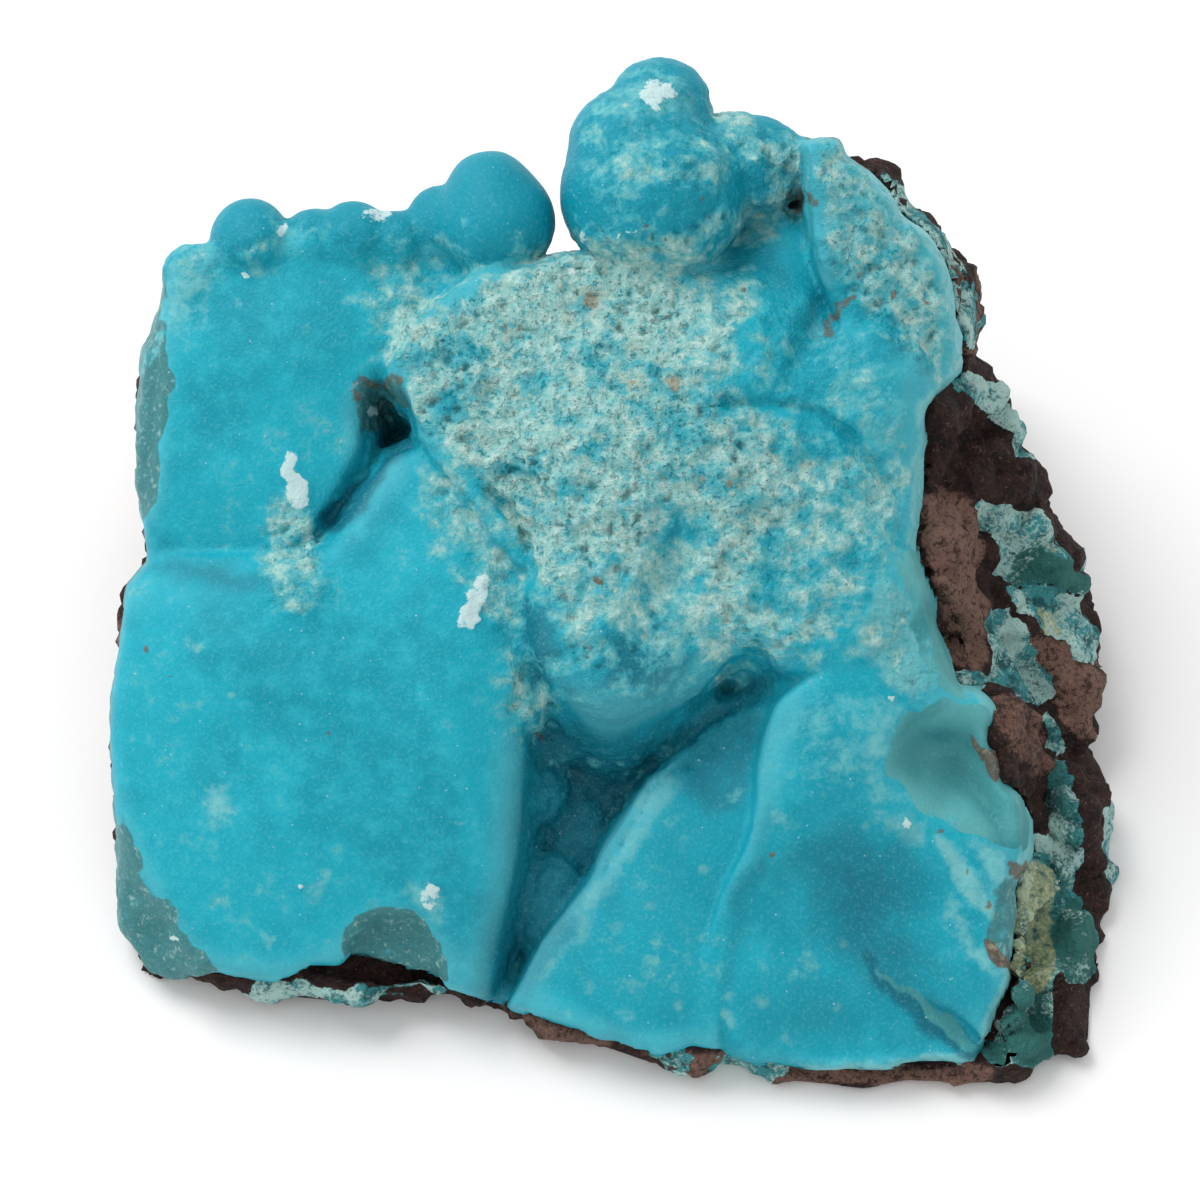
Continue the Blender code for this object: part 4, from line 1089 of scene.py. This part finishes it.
def buildRock():
    look = rockLook
    grown = growStone(look)
    points, spots, normals, masks = [grown[part] for part in ("points", "spots", "normals", "masks")]
    unseen = easeIn((readAt(grown, grown["front"]) - points[:, 2] - 0.8) / 1.5)
    for name in masks:
        masks[name] *= 1 - unseen
    # the back and the flanks, which the photo doesn't show, get bands and patches of the same kind
    bands = np.sin(spots[:, 2] * 0.55 + spots[:, 0] * 0.12 + 1.6 * mottle(spots, 7.0, 65))
    guessed = {
        "teal": easeIn(bands * 1.6 - 0.9) * 0.8,
        "green": easeIn(mottle(spots, 3.0, 64) * 1.6) * 0.7,
        "ochre": easeIn(mottle(spots, 4.0, 66) * 1.6 - 0.6) * 0.6,
        "dusty": easeIn(mottle(spots, 3.5, 63) * 1.4),
    }
    for name, strength in guessed.items():
        masks[name] = np.maximum(masks[name], unseen * strength)
    covered = crustInside(points[:, 0], points[:, 1])
    aboveSeam = points[:, 2] - readAt(grown, grown["seam"])
    hidden = easeIn((aboveSeam + 0.8) / 0.4) * easeIn((covered - 1) / 8)
    onTable = easeIn((0.35 - spots[:, 2]) / 0.3)
    rise = look["lumps"] * mottle(spots, 2.6, 69) + look["grit"] * mottle(spots, 0.9, 70)
    rise += look["shards"] * (shards(spots, 3.4, 67) - 1.5)
    rise += look["splinters"] * (shards(spots * np.array(look["splinterShape"]), 1.4, 68) - 1.5)
    rise *= 1 - look["calm"] * easeIn((look["calmDown"] - points[:, 1]) / 40) * (1 - unseen)
    foot = easeIn((spots[:, 2] - 0.3) / 2.5)    # the thin foot isn't worn away
    rise = np.where(rise < 0, rise * foot, rise) * (1 - hidden) * (1 - onTable)
    spots = spots + normals * rise[:, None]
    spots[:, 2] = np.where(spots[:, 2] < look["flatUnder"], 0.0, spots[:, 2])
    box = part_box("ironstone_matrix")
    return makePiece("ironstone_broken_rock", spots, grown["quads"], masks, box), hidden


def thinHidden(piece, hidden, ratio):
    # faces at the seam, which nothing can show, are thinned
    group = piece.vertex_groups.new(name="hidden")
    for index in np.flatnonzero(hidden > 0.5).tolist():
        group.add([index], 1.0, "REPLACE")
    thin = piece.modifiers.new("thin the seam", "DECIMATE")
    thin.ratio = ratio
    thin.vertex_group = "hidden"
    thin.vertex_group_factor = 10.0
    graph = bpy.context.evaluated_depsgraph_get()
    mesh = bpy.data.meshes.new_from_object(
        piece.evaluated_get(graph), preserve_all_data_layers=True, depsgraph=graph)
    piece.modifiers.clear()
    piece.vertex_groups.clear()
    piece.data = mesh
    mesh.calc_loop_triangles()
    report("%s thinned to %d triangles" % (piece.name, len(mesh.loop_triangles)))


crust, crustHidden = buildCrust()
rock, rockHidden = buildRock()
thinHidden(crust, crustHidden, 0.45)
thinHidden(rock, rockHidden, 0.7)


def fromHex(code, alpha=1.0):
    # sRGB hex to the linear colour that Blender works in
    channels = [int(code[turn:turn + 2], 16) / 255 for turn in (1, 3, 5)]
    linear = [value / 12.92 if value <= 0.04045 else ((value + 0.055) / 1.055) ** 2.4 for value in channels]
    return (*linear, alpha)


def addNode(tree, kind, inputs=None, **settings):
    # an input takes a number, a hex colour, a socket, or a node for its first output
    node = tree.nodes.new("ShaderNode" + kind)
    for name, value in settings.items():
        setattr(node, name, value)
    for name, value in (inputs or {}).items():
        if isinstance(value, bpy.types.Node):
            value = value.outputs[0]
        if isinstance(value, bpy.types.NodeSocket):
            tree.links.new(value, node.inputs[name])
        else:
            node.inputs[name].default_value = fromHex(value) if isinstance(value, str) else value
    return node


def layOver(tree, under, top, value, low, high, most=1.0):
    # lays a colour over the one beneath it: none of it where value is low, most of it where value is high
    share = addNode(tree, "MapRange", {
        "Value": value, "From Min": low, "From Max": high, "To Max": most}, interpolation_type="SMOOTHSTEP")
    return addNode(tree, "Mix", {0: share, 6: under, 7: top}, data_type="RGBA").outputs[2]


def perMetre(millimetres):
    return 1000.0 / millimetres    # texture scale that repeats about every so many millimetres


def startMaterial(name, look):
    # a material with its place on the stone, its masks and its noises, which every layer is made from
    material = bpy.data.materials.new(name)
    material.use_nodes = True
    tree = material.node_tree
    tree.nodes.clear()
    where = addNode(tree, "TexCoord").outputs["Object"]
    parts = {mask: addNode(tree, "Attribute", attribute_name=mask).outputs["Fac"] for mask in look["masks"]}
    for noise, (size, detail, rough, bend) in look["noises"].items():
        parts[noise] = addNode(tree, "TexNoise", {
            "Vector": where, "Scale": perMetre(size), "Detail": detail, "Roughness": rough,
            "Distortion": bend})
    # a product and a sum each: first * factor + second
    for result, (first, factor, second) in look["sums"].items():
        parts[result] = addNode(tree, "Math", {0: parts[first], 1: factor, 2: parts[second]},
                                operation="MULTIPLY_ADD")
    return material, tree, where, parts


# Smithsonite, zinc carbonate, grown from water as a fine velvety druse. It looks waxy, with paler, pitted and
# grey-green broken parts. Sizes are in millimetres.
smithsoniteFinish = {
    "masks": ("pale", "broken", "sheer", "paintedShade", "bloom", "ball", "chip", "earth", "depth", "crest",
              "relief", "pit"),
    "noises": {                  # size, detail, roughness, distortion
        "broad": (6.0, 2.0, 0.5, 0.4),
        "middling": (1.3, 4.0, 0.62, 0.0),
        "grit": (0.55, 3.0, 0.7, 0.0),
        "pitting": (0.36, 2.0, 0.6, 0.0),
        "druse": (0.20, 2.0, 0.7, 0.0),
    },
    "sums": {                    # what gives each mask its ragged edge
        "clouds": ("middling", 1.0, "grit"),
        "bloomEdge": ("clouds", 1.1, "bloom"),
        "paintedShadeEdge": ("middling", 0.6, "paintedShade"),
        "layers": ("depth", 0.8, "clouds"),
        "brokenEdge": ("middling", 0.8, "broken"),
        "paleDrift": ("broad", 1.6, "pale"),
        "paleEdge": ("middling", 2.4, "paleDrift"),
        # spots of painted shade in the pits of the pale growth
        "shadedPitSpots": ("pitting", -3.0, "pale"),
        "chipEdge": ("grit", 1.6, "chip"),
        "earthEdge": ("grit", 0.9, "earth"),
    },
    "body": "#10A3B7",           # copper in the carbonate gives the blue-green
    "bodyLight": "#2DB8C9",
    "bodyDeep": "#0692A6",
    "paintedShade": "#076276",           # painted shade in the grooves, hollows and under the dome
    # painted shade in the deepest hollows
    "hollow": "#033442",
    "haze": "#7ABFC1",           # faint white bloom
    "ball": "#008BA0",
    # painted highlight on the crests, and also the pale speckle of the druse
    "crest": "#74C6CE",
    "veil": "#55AEB6",           # the last growth, thin, pale and pitted
    "pale": "#94C3BD",
    "paleLight": "#C3DDD5",
    "paleTan": "#A3AC97",
    # painted shade in the pits
    "window": "#27A0B0",         # where the blue shows through the pale growth
    "pit": "#1A5C64",
    "broken": "#568A8B",         # broken edges show the layers it grew in
    "brokenDeep": "#3A7679",
    "brokenLight": "#93B5AF",
    "sheer": "#5BA8AB",          # smooth broken faces, darker for seeing into them
    "sheerDeep": "#35878D",
    "chip": "#CBDFDF",           # bruised spots turn white
    "earth": "#5F4632",          # iron stain
    "earthLight": "#A68560",
    "glint": "#DDF2F2",
    "rust": 1.7,                 # a speck of rust about every so far
    "glints": 0.55,
    "roughness": 0.45,
    "ior": 1.62,
}


def smithsoniteMaterial():
    look = smithsoniteFinish
    material, tree, where, parts = startMaterial("smithsonite drusy crust", look)
    middling, grit, pitting, druse = [parts[noise] for noise in ("middling", "grit", "pitting", "druse")]

    # the blue body, with painted shade that deepens it in the hollows and a painted highlight that pales it on
    # the crests
    colour = layOver(tree, look["bodyDeep"], look["body"], parts["broad"], 0.34, 0.62)
    colour = layOver(tree, colour, look["bodyLight"], middling, 0.40, 0.74, 0.5)
    colour = layOver(tree, colour, look["ball"], parts["ball"], 0.0, 1.0, 0.9)
    colour = layOver(tree, colour, look["haze"], parts["bloomEdge"], 1.35, 2.15, 0.85)
    # painted shade over the shade patches
    colour = layOver(tree, colour, look["paintedShade"], parts["paintedShadeEdge"], 0.36, 1.15, 0.9)
    # painted shade: darker where the face lies lower than what is around it
    colour = layOver(tree, colour, look["hollow"], parts["relief"], -1.6, -5.0, 0.7)
    # painted highlight: paler where the face stands higher than what is around it
    colour = layOver(tree, colour, look["crest"], parts["crest"], 0.2, 0.7, 0.25)

    # smooth broken faces, and rough ones that show the layers
    sheerColour = layOver(tree, look["sheerDeep"], look["sheer"], parts["broad"], 0.38, 0.62)
    colour = layOver(tree, colour, sheerColour, parts["sheer"], 0.42, 0.58)
    stripes = addNode(tree, "Math", {0: parts["layers"], 1: 0.5}, operation="PINGPONG")
    brokenColour = layOver(tree, look["brokenDeep"], look["broken"], stripes, 0.1, 0.36)
    brokenColour = layOver(tree, brokenColour, look["brokenLight"], grit, 0.54, 0.72, 0.8)
    colour = layOver(tree, colour, brokenColour, parts["brokenEdge"], 0.78, 1.02, 0.94)

    # the pale growth lies over the blue in patches, with painted shade in its pits and a little rust
    rust = addNode(tree, "TexVoronoi", {"Vector": where, "Scale": perMetre(look["rust"])})
    rustDice = addNode(tree, "SeparateColor", {0: rust.outputs["Color"]}).outputs[1]
    rustSize = addNode(tree, "Math", {0: rustDice, 1: 0.8, 2: rust.outputs["Distance"]},
                       operation="MULTIPLY_ADD")
    rustEdge = addNode(tree, "Math", {0: grit, 1: -0.5, 2: rustSize}, operation="MULTIPLY_ADD")
    rustShare = addNode(tree, "Math", {0: parts["pale"], 1: rustEdge}, operation="SUBTRACT")
    rustHalo = addNode(tree, "Math", {0: rustShare, 1: 0.25}, operation="ADD")
    veilColour = layOver(tree, look["veil"], look["window"], pitting, 0.52, 0.40, 0.8)
    colour = layOver(tree, colour, veilColour, parts["paleEdge"], 2.3, 2.65, 0.8)
    paleColour = layOver(tree, look["pale"], look["paleLight"], grit, 0.46, 0.68, 0.9)
    paleColour = layOver(tree, paleColour, look["paleTan"], rustHalo, 0.85, 1.05, 0.4)
    paleColour = layOver(tree, paleColour, look["window"], grit, 0.46, 0.34, 0.8)
    colour = layOver(tree, colour, paleColour, parts["paleEdge"], 2.55, 3.1, 0.9)
    # painted shade in the pits, and in small spots that also dent the surface
    colour = layOver(tree, colour, look["pit"], parts["pit"], 0.2, 0.95, 0.42)
    shadedPitSpots = addNode(tree, "MapRange", {"Value": parts["shadedPitSpots"], "From Min": -0.24, "From Max": 0.0},
                   interpolation_type="SMOOTHSTEP")
    colour = layOver(tree, colour, look["pit"], shadedPitSpots, 0.0, 1.0, 0.38)
    colour = layOver(tree, colour, look["earthLight"], rustShare, 0.92, 1.04, 0.6)

    # bruised chips, iron stain, and the glints of the druse
    colour = layOver(tree, colour, look["chip"], parts["chipEdge"], 1.36, 1.62, 0.85)
    earthColour = layOver(tree, look["earth"], look["earthLight"], grit, 0.52, 0.72, 0.8)
    colour = layOver(tree, colour, earthColour, parts["earthEdge"], 0.95, 1.35, 0.85)
    glints = addNode(tree, "TexVoronoi", {"Vector": where, "Scale": perMetre(look["glints"])})
    glintDice = addNode(tree, "SeparateColor", {0: glints.outputs["Color"]}).outputs[2]
    glintSize = addNode(tree, "Math", {0: glintDice, 1: 0.22, 2: glints.outputs["Distance"]},
                        operation="MULTIPLY_ADD")
    colour = layOver(tree, colour, look["glint"], glintSize, 0.14, 0.08, 0.36)
    # the druse's pale speckle
    colour = layOver(tree, colour, look["crest"], druse, 0.48, 0.76, 0.22)

    rough = addNode(tree, "MapRange", {
        "Value": druse, "From Min": 0.2, "From Max": 0.8, "To Min": look["roughness"] - 0.08,
        "To Max": look["roughness"] + 0.14})
    paleGrit = addNode(tree, "Math", {0: grit, 1: parts["pale"]}, operation="MULTIPLY")
    dent = addNode(tree, "Math", {0: shadedPitSpots, 1: -0.16}, operation="MULTIPLY")
    height = addNode(tree, "Math", {0: druse, 1: 0.09, 2: dent}, operation="MULTIPLY_ADD")
    height = addNode(tree, "Math", {0: paleGrit, 1: 0.6, 2: height}, operation="MULTIPLY_ADD")
    bump = addNode(tree, "Bump", {"Height": height, "Strength": 0.8, "Distance": 0.001})
    surface = addNode(tree, "BsdfPrincipled", {
        "Base Color": colour, "Roughness": rough, "IOR": look["ior"], "Metallic": 0.0,
        "Specular IOR Level": 0.14, "Subsurface Weight": 0.15, "Subsurface Radius": (0.35, 0.9, 1.0),
        "Subsurface Scale": 0.0008, "Normal": bump})
    addNode(tree, "OutputMaterial", {"Surface": surface})
    return material


# Ironstone: brown goethite and limonite, broken by hand, dull and gritty, with teal smithsonite in bands.
ironstoneFinish = {
    "masks": ("teal", "green", "ochre", "dusty"),
    "noises": {                  # size, detail, roughness, distortion
        "broad": (3.0, 3.0, 0.5, 0.5),
        "middling": (0.9, 4.0, 0.65, 0.0),
        "grain": (0.26, 3.0, 0.7, 0.0),
        "pores": (0.5, 3.0, 0.75, 0.0),      # small holes where grains fell out
    },
    "sums": {
        "dustEdge": ("middling", 1.4, "dusty"),
        "dustGrain": ("grain", 2.0, "dusty"),
        "greenEdge": ("middling", 1.2, "green"),
        "paleBroad": ("grain", 0.6, "broad"),
        "paleEdge": ("green", -0.13, "paleBroad"),
        "tealEdge": ("middling", 1.0, "teal"),
        "ochreEdge": ("middling", 1.4, "ochre"),
        "gritHeight": ("grain", 0.35, "middling"),
        "height": ("pores", 0.9, "gritHeight"),
    },
    "brown": "#35211D",
    "brownDeep": "#180C0A",
    "brownLight": "#6F5146",
    "dust": "#8C6F63",           # rubbed powder on the flat faces
    "teal": "#3C8F94",
    "tealDeep": "#215A5E",
    "tealPale": "#B8D9D2",
    "green": "#2D6660",
    "ochre": "#9AA072",          # limonite stain over the teal
    "ochreLight": "#C6C38C",
    "roughness": 0.80,
    "ior": 1.50,
}


def ironstoneMaterial():
    look = ironstoneFinish
    material, tree, where, parts = startMaterial("ironstone broken face", look)
    middling, grain = parts["middling"], parts["grain"]
    colour = layOver(tree, look["brownDeep"], look["brown"], middling, 0.36, 0.60)
    colour = layOver(tree, colour, look["brownLight"], grain, 0.52, 0.74, 0.5)
    colour = layOver(tree, colour, look["dust"], grain, 0.60, 0.76, 0.5)
    colour = layOver(tree, colour, look["brownLight"], parts["dustEdge"], 1.0, 1.5, 0.85)
    colour = layOver(tree, colour, look["dust"], parts["dustGrain"], 1.3, 2.2, 0.7)
    colour = layOver(tree, colour, look["brownDeep"], parts["pores"], 0.49, 0.38, 0.75)

    # teal bands with painted shade along their border, greener and paler in places, and the stain over them
    tealColour = layOver(tree, look["tealDeep"], look["teal"], middling, 0.40, 0.56)
    tealColour = layOver(tree, tealColour, look["green"], parts["greenEdge"], 0.9, 1.5, 0.9)
    tealColour = layOver(tree, tealColour, look["tealPale"], parts["paleEdge"], 0.74, 0.90, 0.85)
    tealShare = addNode(tree, "MapRange", {"Value": parts["tealEdge"], "From Min": 0.92, "From Max": 1.04},
                        interpolation_type="SMOOTHSTEP")
    colour = layOver(tree, colour, tealColour, tealShare, 0.0, 1.0)
    # painted shade along the edges of the teal bands
    borderShade = addNode(tree, "Math", {0: tealShare, 1: 0.5}, operation="PINGPONG")
    colour = layOver(tree, colour, look["brownDeep"], borderShade, 0.1, 0.5, 0.7)
    ochreColour = layOver(tree, look["ochre"], look["ochreLight"], grain, 0.42, 0.62)
    colour = layOver(tree, colour, ochreColour, parts["ochreEdge"], 1.3, 1.7, 0.75)

    rough = addNode(tree, "MapRange", {
        "Value": grain, "From Min": 0.2, "From Max": 0.8, "To Min": look["roughness"] - 0.12,
        "To Max": look["roughness"] + 0.12})
    bump = addNode(tree, "Bump", {"Height": parts["height"], "Strength": 0.8, "Distance": 0.0006})
    surface = addNode(tree, "BsdfPrincipled", {
        "Base Color": colour, "Roughness": rough, "IOR": look["ior"], "Metallic": 0.0,
        "Specular IOR Level": 0.3, "Normal": bump})
    addNode(tree, "OutputMaterial", {"Surface": surface})
    return material


crust.data.materials.append(smithsoniteMaterial())
rock.data.materials.append(ironstoneMaterial())
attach(crust, "root")
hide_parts("smithsonite_crust")
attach(rock, "root")
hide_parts("ironstone_matrix")
report("materials")

# Floor, light and camera.
studio = {
    "floorSize": 3.0,
    "floorColour": "#F6F6F6",
    "floorRoughness": 0.9,
    "skyColour": "#FFFFFF",
    "skyStrength": 0.77,
    "keyFrom": (-0.20, 0.16, 0.40),
    "keySize": 0.26,
    "keyPower": 1.25,
    "sideFrom": (-0.32, -0.10, 0.16),
    "sideSize": 0.20,
    "sidePower": 0.12,
    "aimHeight": 0.015,        # the lights look at the middle of the stone
    "sensor": 36.0,
}


def softLight(name, place, size, power):
    lamp = bpy.data.lights.new(name, "AREA")
    lamp.shape = "SQUARE"
    lamp.size = size
    lamp.energy = power
    light = bpy.data.objects.new(name, lamp)
    light.location = place
    aim = Vector((0, 0, studio["aimHeight"])) - Vector(place)
    light.rotation_euler = aim.to_track_quat("-Z", "Y").to_euler()
    bpy.context.scene.collection.objects.link(light)


half = studio["floorSize"] / 2
floorMesh = bpy.data.meshes.new("studio_floor")
floorCorners = [(-half, -half, 0), (half, -half, 0), (half, half, 0), (-half, half, 0)]
floorMesh.from_pydata(floorCorners, [], [(0, 1, 2, 3)])
floor = bpy.data.objects.new("studio_floor", floorMesh)
bpy.context.scene.collection.objects.link(floor)
floorPaper = bpy.data.materials.new("white paper sweep")
floorPaper.use_nodes = True
floorTree = floorPaper.node_tree
floorTree.nodes.clear()
paper = addNode(floorTree, "BsdfPrincipled", {
    "Base Color": studio["floorColour"], "Roughness": studio["floorRoughness"], "Specular IOR Level": 0.1})
addNode(floorTree, "OutputMaterial", {"Surface": paper})
floorMesh.materials.append(floorPaper)

sky = bpy.data.worlds.new("soft box room")
sky.use_nodes = True
sky.node_tree.nodes["Background"].inputs["Color"].default_value = fromHex(studio["skyColour"])
sky.node_tree.nodes["Background"].inputs["Strength"].default_value = studio["skyStrength"]
bpy.context.scene.world = sky
softLight("key_soft_box", studio["keyFrom"], studio["keySize"], studio["keyPower"])
softLight("side_soft_box", studio["sideFrom"], studio["sideSize"], studio["sidePower"])
bpy.context.scene.view_settings.view_transform = "Standard"

lens = bpy.data.cameras.new("photo_camera")
lens.lens = view["lens"]
lens.sensor_width = studio["sensor"]
lens.clip_start = 0.01
camera = bpy.data.objects.new("photo_camera", lens)
camera.location = place(view["middlePixel"], view["middlePixel"], view["eyeDistance"]) * millimetre
camera.rotation_euler = (math.radians(90 - view["tilt"]), 0, 0)
bpy.context.scene.collection.objects.link(camera)
bpy.context.scene.camera = camera
report("studio")

bpy.context.view_layer.update()
